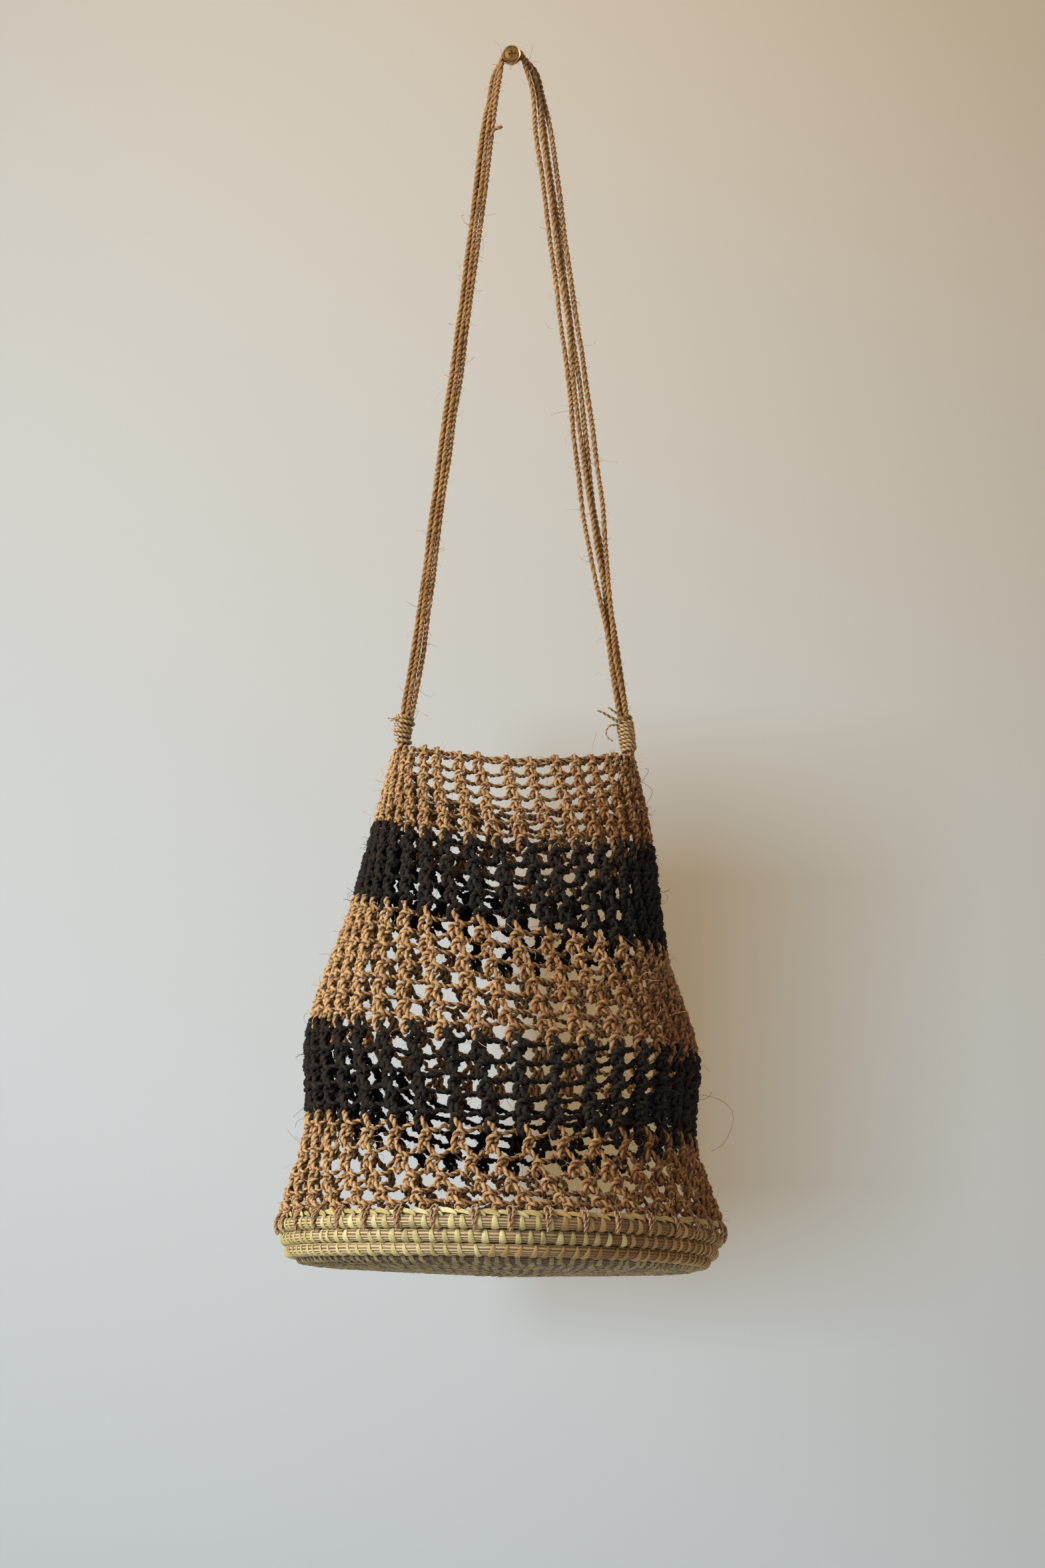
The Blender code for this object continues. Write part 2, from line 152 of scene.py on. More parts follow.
def evenly(points, step):
    """The same route with its points a step apart."""
    points = np.array(points, dtype=float)
    distance = lengths_along(points)
    spots = np.linspace(0.0, distance[-1], round(distance[-1] / step) + 1)
    return np.column_stack([np.interp(spots, distance, points[:, axis]) for axis in range(3)])


def rounded(points, fineness):
    """The route with extra points on smooth curves between its own: fineness times as many."""
    points = np.array(points, dtype=float)
    before = np.concatenate((points[:1], points[:-2]))
    start, end = points[:-1], points[1:]
    after = np.concatenate((points[2:], points[-1:]))
    leave, arrive = (end - before) / 2, (after - start) / 2
    steps = [cubic(start, leave, end, arrive, t) for t in np.arange(fineness) / fineness]
    return np.concatenate((np.stack(steps, axis=1).reshape(-1, 3), points[-1:]))


def wandering(count, step, draw, *limits):
    """A value for each of count points, which runs straight from one draw to the next, a step later."""
    knots = np.arange(0, count + step, step)
    return np.interp(np.arange(count), knots, [draw(*limits) for _ in knots])


def two_plies(*quarter):
    """The outline of two plies pressed together, in cord radii, from a quarter of it: groove to side."""
    right = [(x, 0.0 - y) for x, y in quarter] + [(x, y) for x, y in quarter[::-1] if y > 0]
    return right + [(-x, y) for x, y in right[::-1] if x > 0]


def line_in(curve, points):
    """Adds a line of straight steps through the points to the curve."""
    line = curve.splines.new("POLY")
    line.points.add(len(points) - 1)
    line.points.foreach_set("co", np.column_stack((points, np.ones(len(points)))).ravel())
    return line


def as_mesh(curve):
    """The mesh of a curve's surface, in place of the curve."""
    holder = in_scene(curve)
    graph = bpy.context.evaluated_depsgraph_get()
    mesh = bpy.data.meshes.new_from_object(holder.evaluated_get(graph), depsgraph=graph)
    bpy.data.objects.remove(holder)
    bpy.data.curves.remove(curve)
    return mesh


def mesh_from(bm, name):
    """The finished mesh of what was built up in bm."""
    mesh = bpy.data.meshes.new(name)
    bm.to_mesh(mesh)
    bm.free()
    return mesh


def piece_of(name, mesh, finish, solid=None):
    """The mesh as a piece of the part, with its finish, and the solid that it stands for."""
    mesh.name = name
    mesh.materials.append(finish.material)
    piece = in_scene(mesh)
    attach(piece, "root")
    if solid:
        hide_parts(solid)
    return piece


def swept(route, outline, radius, lay, fullness, fineness):
    """A mesh of the outline swept along the route; lay is the length of one turn of it, 0 for none."""
    points = rounded(route, fineness)
    distance = lengths_along(points)
    ring_data = bpy.data.curves.new("outline", "CURVE")
    ring_data.dimensions = "2D"
    line_in(ring_data, [(x * radius, y * radius, 0.0) for x, y in outline]).use_cyclic_u = True
    ring = in_scene(ring_data)
    path_data = bpy.data.curves.new("route", "CURVE")
    path_data.dimensions = "3D"
    path_data.bevel_mode = "OBJECT"
    path_data.bevel_object = ring
    path_data.use_fill_caps = True
    path = line_in(path_data, points)
    if lay:  # no two turns of the plies are quite as long
        (far, slow), (near, quick) = TWIST_SWINGS
        uneven = far * np.sin(distance * slow + 1000 * points[0][0]) + near * np.sin(distance * quick)
        path.points.foreach_set("tilt", distance / lay * math.tau + uneven)
    if fullness is not None:
        own = np.arange(len(route)) * fineness
        path.points.foreach_set("radius", np.interp(np.arange(len(points)), own, fullness))
    mesh = as_mesh(path_data)
    bpy.data.objects.remove(ring)
    bpy.data.curves.remove(ring_data)
    layer = mesh.uv_layers[0]
    layer.name = "UVMap"
    places = np.empty(len(layer.data) * 2, dtype=np.float32)
    layer.data.foreach_get("uv", places)
    along = np.interp(places[0::2] * (len(points) - 1), np.arange(len(points)), distance)
    layer.data.foreach_set("uv", np.column_stack((places[1::2], along)).astype(np.float32).ravel())
    return mesh


ROUND_PLIES = two_plies((0.0, 0.52), (0.40, 0.70), (0.82, 0.52), (1.0, 0.0))  # for the handle
PLIES = two_plies((0.0, 0.36), (0.66, 0.62), (1.0, 0.0))  # for short cords
LEAN_PLIES = two_plies((0.0, 0.60), (0.86, 0.54))  # for the long cord of the net


def cord_piece(name, solid, routes, radius, lay, finish, outline=PLIES, fullness=None, fineness=2):
    """One piece of cords along the routes. Its UV map runs round a cord, and in metres along it."""
    bm = bmesh.new()
    for route in routes:
        part = swept(route, outline, radius, lay, fullness, fineness)
        bm.from_mesh(part)
        bpy.data.meshes.remove(part)
    bmesh.ops.remove_doubles(bm, verts=bm.verts, dist=WELD)
    mesh = mesh_from(bm, name)
    mesh.shade_smooth()
    return piece_of(name, mesh, finish, solid)


class Socket:
    """A node's output that can stand in an expression."""

    def __init__(self, finish, link):
        self.finish = finish
        self.link = link

    def also(self, output):
        """Another output of the same node."""
        return Socket(self.finish, self.link.node.outputs[output])

    def maths(self, operation, *values):
        return self.finish.node("ShaderNodeMath", {"operation": operation}, dict(enumerate(values)))

    def __add__(self, other):
        return self.maths("ADD", self, other)

    def __radd__(self, other):
        return self.maths("ADD", other, self)

    def __sub__(self, other):
        return self.maths("SUBTRACT", self, other)

    def __rsub__(self, other):
        return self.maths("SUBTRACT", other, self)

    def __mul__(self, other):
        return self.maths("MULTIPLY", self, other)

    def __rmul__(self, other):
        return self.maths("MULTIPLY", other, self)

    def __pow__(self, other):
        return self.maths("POWER", self, other)

    def cosine(self):
        return self.maths("COSINE", self)

    def sine(self):
        return self.maths("SINE", self)

    def clipped(self, low, high):
        """0 at low and under, 1 at high and over."""
        inputs = {"Value": self, "From Min": low, "From Max": high}
        return self.finish.node("ShaderNodeMapRange", {"clamp": True}, inputs)


class Finish:
    """A material with one Principled shader, built from nodes."""

    def __init__(self, name, **plain):
        self.material = bpy.data.materials.new(name)
        self.material.use_nodes = True
        self.tree = self.material.node_tree
        self.shader = self.tree.nodes["Principled BSDF"]
        for label, value in plain.items():
            self.shader.inputs[label.replace("_", " ")].default_value = value

    def node(self, kind, settings=None, inputs=None, output=0):
        """A new node: its settings first, a ramp's stops among them, then its sockets' values or links."""
        made = self.tree.nodes.new(kind)
        for label, value in (settings or {}).items():
            if label == "stops":
                ramp = made.color_ramp
                while len(ramp.elements) < len(value):
                    ramp.elements.new(0.5)
                for element, (place, colour) in zip(ramp.elements, value):
                    element.position = place
                    element.color = colour
            else:
                setattr(made, label, value)
        for label, value in (inputs or {}).items():
            if isinstance(value, Socket):
                self.tree.links.new(value.link, made.inputs[label])
            else:
                made.inputs[label].default_value = value
        return Socket(self, made.outputs[output])

    def wear(self, label, value):
        """Links a value that changes over the surface to the shader."""
        self.tree.links.new(value.link, self.shader.inputs[label])

    def place(self):
        return self.node("ShaderNodeTexCoord", output="Object")

    def split(self, vector):
        """The X of a vector; its also() gives Y and Z."""
        return self.node("ShaderNodeSeparateXYZ", {}, {0: vector})

    def around_and_along(self):
        """The cord's own map: the turn round it from 0 to 1, and the distance along it in metres."""
        around = self.split(self.node("ShaderNodeUVMap", {"uv_map": "UVMap"}))
        return around, around.also("Y")

    def vector(self, x, y, z):
        return self.node("ShaderNodeCombineXYZ", {}, {"X": x, "Y": y, "Z": z})

    def on_tube(self, turn, radius, along):
        return self.vector(turn.cosine() * radius, turn.sine() * radius, along)

    def noise(self, vector, scale, detail=2.0, roughness=0.5):
        inputs = {"Vector": vector, "Scale": scale, "Detail": detail, "Roughness": roughness}
        return self.node("ShaderNodeTexNoise", {}, inputs)

    def mix(self, share, first, second):
        """A colour between two others."""
        inputs = {"Factor": share, 6: first, 7: second}
        return self.node("ShaderNodeMix", {"data_type": "RGBA"}, inputs, output=2)

    def bump(self, height, distance, strength=1.0):
        inputs = {"Height": height, "Distance": distance, "Strength": strength}
        self.wear("Normal", self.node("ShaderNodeBump", {}, inputs))


def srgb(red, green, blue):
    """A linear colour from 0-255 display values."""
    def linear(value):
        share = value / 255
        return share / 12.92 if share <= 0.04045 else ((share + 0.055) / 1.055) ** 2.4
    return (linear(red), linear(green), linear(blue), 1.0)


STREAK_LEAN = 0.75  # turns of the streaks to one of the plies


def fibre_finish(name, light, dark, worn, lay, sheen=0.05, right_shade=0.0, depth=0.85):
    """Two-ply plant fibre: streaks along each ply, painted shade in the grooves between them, and worn
    lengths.

    right_shade is how much painted shade darkens it towards +X, and depth how dark the painted shade in the
    grooves is.
    """
    finish = Finish(name, Roughness=0.85, Sheen_Weight=sheen, Sheen_Roughness=0.6, Specular_IOR_Level=0.2)
    around, along = finish.around_and_along()
    groove = 0.5 + 0.5 * (around * (2 * math.tau)).cosine()
    turn = (around + along * (STREAK_LEAN / lay)) * math.tau
    streak = finish.noise(finish.on_tube(turn, 0.0016, along * 0.10), 2600.0, 3.0, 0.65)
    one_ply = (around * math.tau).sine().clipped(-0.2, 0.2)
    ply_tone = finish.noise(finish.vector(along, one_ply * 0.05, 0.0), 150.0, 2.0)
    patch = finish.noise(finish.vector(along, 0.0, 0.0), 38.0, 3.0, 0.6)
    region = finish.noise(finish.place(), 16.0, 2.0)
    # Painted shade: towards +X the colour moves to the worn one, so the side away from the light is darker.
    painted_right_shade = finish.split(finish.place()) * right_shade
    wear = (patch * 0.4 + region * 0.35 + ply_tone * 0.45 + painted_right_shade).clipped(0.46, 0.74)
    body = finish.mix(wear, light, worn)
    # Painted shade: the grooves between the plies are darkened, along with the streaks' own darker fibres.
    shade = (groove ** 1.8 * depth + (1.0 - streak.clipped(0.30, 0.64)) * 0.45).clipped(0.0, 1.0)
    finish.wear("Base Color", finish.mix(shade, body, dark))
    finish.bump(streak - groove * 0.5, 0.00030, 0.9)
    return finish


handle_fibre = fibre_finish(
    "handle_fibre", srgb(192, 148, 94), srgb(88, 56, 27), srgb(142, 98, 50), STRAND_LAY, depth=0.55
)
handle_routes = []
dice = random.Random(3)
for number, (thick, solid) in enumerate(STRANDS):
    middles = []
    for zone, x, y, z in STRAND_ROUTE:
        sideways, outwards = STRAND_OFFSETS[zone][number]
        middles.append((x + sideways, y + outwards, z))
    route = evenly(smooth_route(from_mm(middles), STRAND_FINE), STRAND_STEP)
    spots = np.arange(len(route))
    low = np.clip((DRIFT_BELOW - route[:, 2]) / DRIFT_FALL, 0.0, 1.0)
    free = low * np.clip(np.minimum(spots, spots[::-1]) / DRIFT_EASE, 0.0, 1.0)
    for axis in (0, 1):
        route[:, axis] += free * wandering(len(route), DRIFT_STEPS, dice.gauss, 0, STRAND_DRIFT)
    handle_routes.append(route)
    wobble = wandering(len(route), STRAND_WOBBLE, dice.uniform, 0.90, 1.08)
    strand = cord_piece(
        f"handle_cord_{number + 1}", solid, [route], thick / 2, STRAND_LAY, handle_fibre,
        outline=ROUND_PLIES, fullness=wobble,
    )


# ---- lashings ----
# Thin pale cord wound round the strands' ends and the net's corner, and drawn tight. The right one is
# neat, under an overhand knot, and the left one has slackened. Short free ends stick out of both.

LASHING_LAY = 0.0056
LASHINGS = {  # ends of the axis, radius to the cord's middle there, turns, how the turns slope and wander
    "left": {
        "top": Vector((-0.0690, -0.0620, -0.4424)), "bottom": Vector((-0.0708, -0.0620, -0.4612)),
        "radii": (0.0054, 0.0044), "turns": 6.4, "slope": -0.0006, "wander": 0.0011, "cord": 0.00128,
    },
    "right": {
        "top": Vector((0.0732, -0.0620, -0.4478)), "bottom": Vector((0.0760, -0.0620, -0.4668)),
        "radii": (0.0048, 0.0040), "turns": 7.6, "slope": 0.0016, "wander": 0.0002, "cord": 0.00132,
    },
}
SOFT_PLIES = two_plies((0.0, 0.62), (0.42, 0.76), (0.84, 0.50), (1.0, 0.0))  # with shallow grooves
WRAP_POINTS = 24  # in each turn
WRAP_KNOTS = 12  # points from one place out of line to the next
WRAP_TUCK = 10  # points over which each end dives in under the turns
KNOT_MIDDLE = Vector((0.0727, -0.0628, -0.4447))
KNOT_RING = 0.0031  # radius of the ring that the knot winds along
KNOT_SIDE = 0.0013  # how far it winds off it
KNOT_CORD = 0.00125
KNOT_POINTS = 48
FREE_POINTS = 20
FREE_ENDS = {  # radius at the start and at the tip in mm, then the points in mm
    "tail_left": (1.1, 0.4, (
        (-70.0, -66.8, -445.2), (-73.0, -67.4, -444.6), (-75.2, -67.2, -444.6), (-77.5, -67.0, -445.2),
        (-79.7, -66.8, -444.6),
    )),
    "tail_left_fray": (0.9, 0.3, (
        (-70.5, -66.8, -445.6), (-73.5, -67.6, -445.2), (-76.0, -67.4, -445.8), (-78.8, -66.8, -447.0),
    )),
    "tail_right_long": (1.3, 0.7, (
        (70.5, -65.5, -447.4), (67.5, -66.8, -446.4), (64.5, -67.6, -444.5), (61.2, -68.5, -442.7),
        (58.0, -69.5, -440.8), (55.2, -70.0, -440.2),
    )),
    "tail_right_short": (1.3, 0.6, (
        (70.5, -65.0, -444.0), (68.9, -66.8, -442.4), (65.6, -68.8, -440.2), (62.4, -70.5, -438.0),
    )),
    "tail_right_hook": (1.0, 0.5, (
        (69.0, -65.5, -449.0), (66.6, -66.5, -449.2), (64.0, -67.2, -449.3), (61.6, -67.8, -451.4),
        (60.9, -68.4, -454.7), (62.2, -68.8, -457.5), (65.5, -69.0, -459.8),
    )),
}
STUB = ((-12.8, -14.0, -49.6), (-10.8, -15.2, -49.3), (-8.5, -16.0, -48.9), (-6.6, -16.5, -48.0))
STUB_RADIUS = 0.0014
STUB_POINTS = 8


def upright_on(bottom, top):
    """Turns +Z to run from bottom to top, and moves the origin to bottom."""
    return Matrix.Translation(bottom) @ (top - bottom).to_track_quat("Z", "Y").to_matrix().to_4x4()


def wound(lashing, dice):
    """Turns round the lashing's axis, from the top down, each a little out of line with the last."""
    span = (lashing["bottom"] - lashing["top"]).length
    frame_there = upright_on(lashing["bottom"], lashing["top"])
    count = int(lashing["turns"] * WRAP_POINTS)
    drift = wandering(count + WRAP_KNOTS, WRAP_KNOTS, dice.uniform, -1.0, 1.0) * lashing["wander"]
    puff = wandering(count + WRAP_KNOTS, WRAP_KNOTS, dice.uniform, -0.3, 1.0) * lashing["wander"]
    points = []
    for i in range(count + 1):
        share = i / count
        turn = share * lashing["turns"] * math.tau
        top, bottom = lashing["radii"]
        out = (top + (bottom - top) * share + puff[i]) * min(1.0, 0.5 + min(i, count - i) / WRAP_TUCK / 2)
        across, deep = math.sin(turn), -math.cos(turn)
        down = span * (1 - share) + lashing["slope"] * across + drift[i] * 0.6
        points.append(frame_there @ Vector((across * out, deep * out, down)))
    return points


def overhand_knot():
    """A closed cord that goes twice round the strands and three times over and under itself."""
    points = []
    for i in range(KNOT_POINTS + 1):
        turn = i / KNOT_POINTS * math.tau
        out = KNOT_RING + KNOT_SIDE * math.cos(3 * turn)
        height = -KNOT_SIDE * math.sin(3 * turn)
        points.append(KNOT_MIDDLE + Vector((math.cos(2 * turn) * out, math.sin(2 * turn) * out, height)))
    return points


pale_fibre = fibre_finish(
    "pale_fibre", srgb(216, 190, 144), srgb(124, 90, 54), srgb(186, 152, 106), LASHING_LAY
)
dice = random.Random(5)
for side, lashing in LASHINGS.items():
    cord_piece(
        f"lashing_cord_{side}", f"lashing_{side}", [wound(lashing, dice)], lashing["cord"],
        LASHING_LAY, pale_fibre, outline=SOFT_PLIES, fineness=3,
    )
cord_piece(
    "lashing_knot", "lashing_right", [overhand_knot()], KNOT_CORD, LASHING_LAY, handle_fibre,
    outline=SOFT_PLIES,
)
for name, (start, tip, points) in FREE_ENDS.items():
    route = smooth_route(from_mm(points), FREE_POINTS)
    sizes = [eased(1.0, tip / start, i / (FREE_POINTS - 1)) for i in range(FREE_POINTS)]
    cord_piece(
        f"free_{name}", name.removesuffix("_fray"), [route], start / 1000, LASHING_LAY,
        pale_fibre, fullness=sizes,
    )
route = smooth_route(from_mm(STUB), STUB_POINTS)
cord_piece("cut_stub", "strand_stub", [route], STUB_RADIUS, STRAND_LAY, handle_fibre)


# ---- net ----
# Two-ply cord looped row by row in one long spiral. It comes up through the eye of the row above, runs
# down to its own crossing, and turns once round there for the next eye. Two groups of rows are dyed black.

ROWS = 29
COLUMNS = 40
NET_LAY = 0.0094
LEANS = ((0, 0.0), (7, 8.5), (12, 15.0), (19, 26.0), (24, 29.0), (29, 41.5))  # rows and degrees round
NET_PHASE = math.radians(6.0)  # the first column right of the front
LOOP_WIDTH = 0.0094  # of a loop with room to spread, its cord included
LOOP = (  # across in mm, down in rows and out in mm from its crossing, and its tie to the row above
    (-5.4, -0.30, -1.9, 1.0), (-3.9, -0.46, -1.7, 1.0), (-2.5, -0.62, 0.2, 1.0), (-1.2, -0.52, 2.0, 0.8),
    (-0.4, -0.22, 2.2, 0.35), (0.5, 0.02, 1.0, 0.0), (0.1, 0.20, -0.9, 0.0), (-1.4, 0.44, -0.9, 0.0),
    (-2.1, 0.72, 0.1, 0.0), (-2.9, 0.86, 0.8, 0.0), (-3.9, 0.64, 1.0, 0.0), (-3.9, 0.28, 1.2, 0.0),
    (-2.4, 0.04, 1.9, 0.0), (-0.3, -0.05, 2.1, 0.0), (2.6, -0.08, 0.7, 0.0),
)
CROSSING_DOWN = 0.4  # of the crossing in its row
BAR_END = (-7.4, -1.2)  # across and out, where the bar from the last loop arrives, tied to the row above
BAR_ENDS_DOWN = ((0, -0.14), (9, -0.20), (15, -0.23), (21, -0.30), (26, -0.48))  # and how far down, by row
BANDS = (  # rows, the solid that they stand for, the cord's radius, the loops' width and the eyes' length
    (0, 7, "net_tan_top", 0.00166, 1.02, 1.05),
    (7, 12, "net_black_upper", 0.00214, 1.12, 0.95),
    (12, 19, "net_tan_middle", 0.00192, 1.16, 0.95),
    (19, 24, "net_black_lower", 0.00218, 1.12, 0.90),
    (24, 29, "net_tan_lower", 0.00176, 1.02, 0.82),
)
BAR_SAG = 0.05  # of the bar's middle, in rows
BAR_IN = -0.4  # and how far in it lies, in mm: behind the loops
BACK_SLACK = 0.45  # the loops at the back are slack, and this much wider
DRAWN = (0.80, 0.92, *[1.06] * 13, 0.88, 0.78)  # thickness at a loop's points: the bars are drawn thin
SQUEEZE = 0.72  # the most of a column's pitch that a loop takes up
WOBBLE_POINTS = 6  # from one thick or thin place to the next
LOOP_WIDTHS, EYE_LENGTHS = (0.9, 1.12), (0.86, 1.14)  # the least and most, to what is usual in the band
WANDER_KEPT, WANDER = 0.8, 0.7  # share of its place off the line that a column keeps, and what it adds, in mm
SLIP, SINK = 0.4, 0.06  # how far a loop is off its column's line, in mm, and too low, in rows
JITTER = (0.18, 0.02, 0.15)  # of every point: across in mm, down in rows, out in mm
LOOSE = 0.4  # how far a bar's points go with their loop when it sits out of line
BASE_RADIUS = 0.1330
BASE_PLACE = BASE_X, BASE_Y, BASE_Z = (-0.0062, -0.1330, -0.7552)
BASE_TILT = math.radians(13.9)
BASE_ROLL = math.radians(1.15)
BASE_REACH = BASE_RADIUS * math.cos(BASE_TILT)  # its edge before and behind its middle
BASE_DROP = BASE_RADIUS * math.sin(BASE_TILT)  # and above and below it there
BASE_SLANT = BASE_RADIUS * math.tan(BASE_ROLL)  # and at the sides
SECTION_COLUMNS = (
    "row", "half_width", "middle_x", "front_y", "back_y", "front_z", "right_z", "back_z", "left_z",
    "crowding",
)
SECTIONS = (
    (0, 0.0760, 0.0017, -0.082, -0.042, -0.4723, -0.4757, -0.5092, -0.4692, 0.33),
    (7, 0.0870, 0.0007, -0.122, -0.035, -0.5256, -0.5286, -0.5595, -0.5188, 0.27),
    (12, 0.0970, -0.0017, -0.157, -0.028, -0.5735, -0.5941, -0.6090, -0.5662, 0.22),
    (19, 0.1190, -0.0053, -0.203, -0.018, -0.6363, -0.6598, -0.7001, -0.6440, 0.15),
    (24, 0.1177, -0.0065, -0.234, -0.011, -0.6834, -0.7087, -0.7437, -0.6992, 0.08),
    (29, BASE_RADIUS, BASE_X, BASE_Y - BASE_REACH, BASE_Y + BASE_REACH, BASE_Z + BASE_DROP,
     BASE_Z - BASE_SLANT, BASE_Z - BASE_DROP, BASE_Z + BASE_SLANT, 0.0),
)
NET_FLAT_ROW = 0.0115  # a row's height in the net laid flat
PROBE = 0.01  # radians and rows from a point to the next one that a direction is measured with


def section(rows):
    """Every named value of the net's cross-section at each row, on a smooth curve through the table."""
    table = np.array(SECTIONS)
    rows = np.clip(rows, -0.5, ROWS + 0.2)
    i = np.clip(np.searchsorted(table[:, 0], rows, side="right") - 1, 0, len(table) - 2)
    span = table[i + 1, 0] - table[i, 0]
    t = ((rows - table[i, 0]) / span)[:, None]
    slopes = np.diff(table, axis=0) / np.diff(table[:, 0])[:, None]
    before, here = slopes[np.maximum(i - 1, 0)], slopes[i]
    after = slopes[np.minimum(i + 1, len(slopes) - 1)]
    leave = (before + here) / 2 * span[:, None]
    arrive = (here + after) / 2 * span[:, None]
    return dict(zip(SECTION_COLUMNS, cubic(table[i], leave, table[i + 1], arrive, t).T))


def net_surface(angles, rows):
    """The net's middle surface; angle is 0 at the front and grows towards +X, row 0 is the rim."""
    at = section(rows)
    turn = angles + at["crowding"] / 2 * np.sin(2 * angles)
    across, deep = np.sin(turn), np.cos(turn)
    mean_z = (at["front_z"] + at["back_z"] + at["right_z"] + at["left_z"]) / 4
    pinch_z = (at["front_z"] + at["back_z"] - at["right_z"] - at["left_z"]) / 4
    x = at["middle_x"] + at["half_width"] * across
    y = (at["front_y"] + at["back_y"]) / 2 - (at["back_y"] - at["front_y"]) / 2 * deep
    tilt_z = (at["front_z"] - at["back_z"]) / 2 * deep + (at["right_z"] - at["left_z"]) / 2 * across
    return np.column_stack((x, y, mean_z + tilt_z + pinch_z * np.cos(2 * turn)))


def girth(angles, rows):
    """Metres round the net for each radian."""
    return np.linalg.norm(net_surface(angles + PROBE, rows) - net_surface(angles, rows), axis=1) / PROBE


def net_places(angles, rows, across, out):
    """Points on and off the net: across and out are metres from the column's line and from the surface."""
    angles = angles + across / girth(angles, rows)
    here = net_surface(angles, rows)
    sideways = net_surface(angles + PROBE, rows) - here
    downwards = net_surface(angles, rows + PROBE) - here
    outwards = np.cross(downwards, sideways)
    outwards /= np.linalg.norm(outwards, axis=1)[:, None]
    return here + outwards * out[:, None]


def worked_row(row):
    """Rows are crowded towards the base in the last band."""
    t = np.clip((row - 24) / 5, 0.0, None)
    return np.where(row > 24, 24 + 5 * t * (1.62 - 0.62 * t), row)


def leaning(row):
    """How far round the columns have leaned at a row."""
    return math.radians(float(np.interp(row, *zip(*LEANS))))


def rounds(first, end, fatness, eye, dice):
    """The route of the cord through the loops of some rows, with each loop a little different."""
    angles, rows, across, out = [], [], [], []
    wander = [0.0] * COLUMNS
    for row in range(first, end):
        slope = min(1.0, row / 3, (ROWS - 1 - row) / 3)
        bar_down = float(np.interp(row, *zip(*BAR_ENDS_DOWN)))
        for column in range(COLUMNS):
            depth = row + (column / COLUMNS - 0.5) * slope + CROSSING_DOWN
            angle = math.pi + column * math.tau / COLUMNS + NET_PHASE + leaning(depth)
            pitch = 1000 * float(girth(np.array([angle]), np.array([depth]))[0] * math.tau / COLUMNS)
            tied = pitch * COLUMNS / math.tau * (leaning(depth) - leaning(depth - 1))
            width = fatness * (1 + BACK_SLACK * max(0.0, -math.cos(angle))) * dice.uniform(*LOOP_WIDTHS)
            width = min(width, SQUEEZE * pitch / 1000 / LOOP_WIDTH)
            size = eye * dice.uniform(*EYE_LENGTHS)
            wander[column] = wander[column] * WANDER_KEPT + dice.gauss(0.0, WANDER)
            slip, sink = wander[column] + dice.gauss(0.0, SLIP), dice.gauss(0.0, SINK)
            arrival = BAR_END[0] * width - tied
            places = [(u * width - tie * tied, v, w, 1.0) for u, v, w, tie in LOOP]
            leave, level = places[-1][:2]
            places.insert(0, (arrival, bar_down, BAR_END[1], LOOSE))
            places.append(((leave + arrival + pitch) / 2, (level + bar_down) / 2 + BAR_SAG, BAR_IN, LOOSE))
            for u, v, w, loose in places:
                grow = size if v > 0 else 1.0
                angles.append(angle)
                rows.append(depth + v * grow + sink + dice.gauss(0, JITTER[1]))
                across.append((u + slip * loose + dice.gauss(0, JITTER[0])) / 1000)
                out.append((w + dice.gauss(0, JITTER[2])) / 1000)
    rows = worked_row(np.array(rows))
    return net_places(np.array(angles), rows, np.array(across), np.array(out))


# The tan cord carries painted shade towards +X as well as in its grooves.
tan_fibre = fibre_finish(
    "tan_fibre", srgb(208, 167, 114), srgb(78, 46, 19), srgb(146, 98, 48), NET_LAY, right_shade=1.2
)
black_fibre = fibre_finish(
    "black_fibre", srgb(30, 24, 18), srgb(7, 6, 5), srgb(50, 40, 29), NET_LAY, sheen=0.0
)
dice = random.Random(11)
net_routes = []
for first, end, solid, radius, fatness, eye in BANDS:
    route = rounds(first, end, fatness, eye, dice)
    net_routes.append(route)
    wobble = wandering(len(route), WOBBLE_POINTS, dice.uniform, 0.88, 1.12)
    fibre, slot = (black_fibre, "dyed_cord") if "black" in solid else (tan_fibre, "net_cord")
    band = cord_piece(
        solid.replace("net_", "looped_"), solid, [route], radius, NET_LAY, fibre,
        outline=LEAN_PLIES, fullness=wobble * np.resize(DRAWN, len(route)),
    )
    (end - first) * NET_FLAT_ROW


# ---- coiled base ----
# A bundle of dry grass stems wound round and round into a shallow tray. The wall's turns stand on each
# other, the floor's lie side by side, and straw stitches bind each turn to the one before.

COIL = 0.0080
COIL_RADIUS = 0.0040
SIDE_TURNS = (  # inward from the top turn's radius, and down from the top edge, of the turns' middles
    (0.0, 0.0064), (0.0030, 0.0139), (0.0058, 0.0211), (0.0126, 0.0243), (0.0204, 0.0253), (0.0284, 0.0259),
)
UNDERSIDE_FALL = 0.034
STEMS = 14  # seen round the bundle
FLOOR_FROM = 2.4  # along the coil, where the wall ends
COIL_START = math.radians(150)  # where the outer end is tucked in, at the back
STEM_DIP = 0.90  # of the bundle's radius, where a stem lies deeper
STEM_OUTLINE = [  # the bundle's cross-section, in which every second stem stands out
    (math.cos(i * math.tau / STEMS) * size, math.sin(i * math.tau / STEMS) * size)
    for i, size in enumerate((STEM_DIP, 1.0) * (STEMS // 2))
]
COIL_STEP = 0.0095
COIL_INNERMOST = 0.004  # the least radius that the step is measured at
COIL_STEPS_DOWN = 0.35  # of a turn, over which it steps to the next level
# Radius and height of each turn of the coil, from the top edge down the side and in to the middle
TURNS = [Vector((BASE_RADIUS - inward, -down)) for inward, down in SIDE_TURNS]
while TURNS[-1].x > COIL:
    TURNS.append(TURNS[-1] - Vector((COIL, COIL * UNDERSIDE_FALL)))
HANGING = Matrix.Translation(BASE_PLACE) @ Euler((-BASE_TILT, BASE_ROLL, 0.0)).to_matrix().to_4x4()


def on_base(angle, radius, height):
    """A point of the tilted tray; angle is 0 at the front and grows towards +X."""
    return HANGING @ Vector((math.sin(angle) * radius, -math.cos(angle) * radius, height))


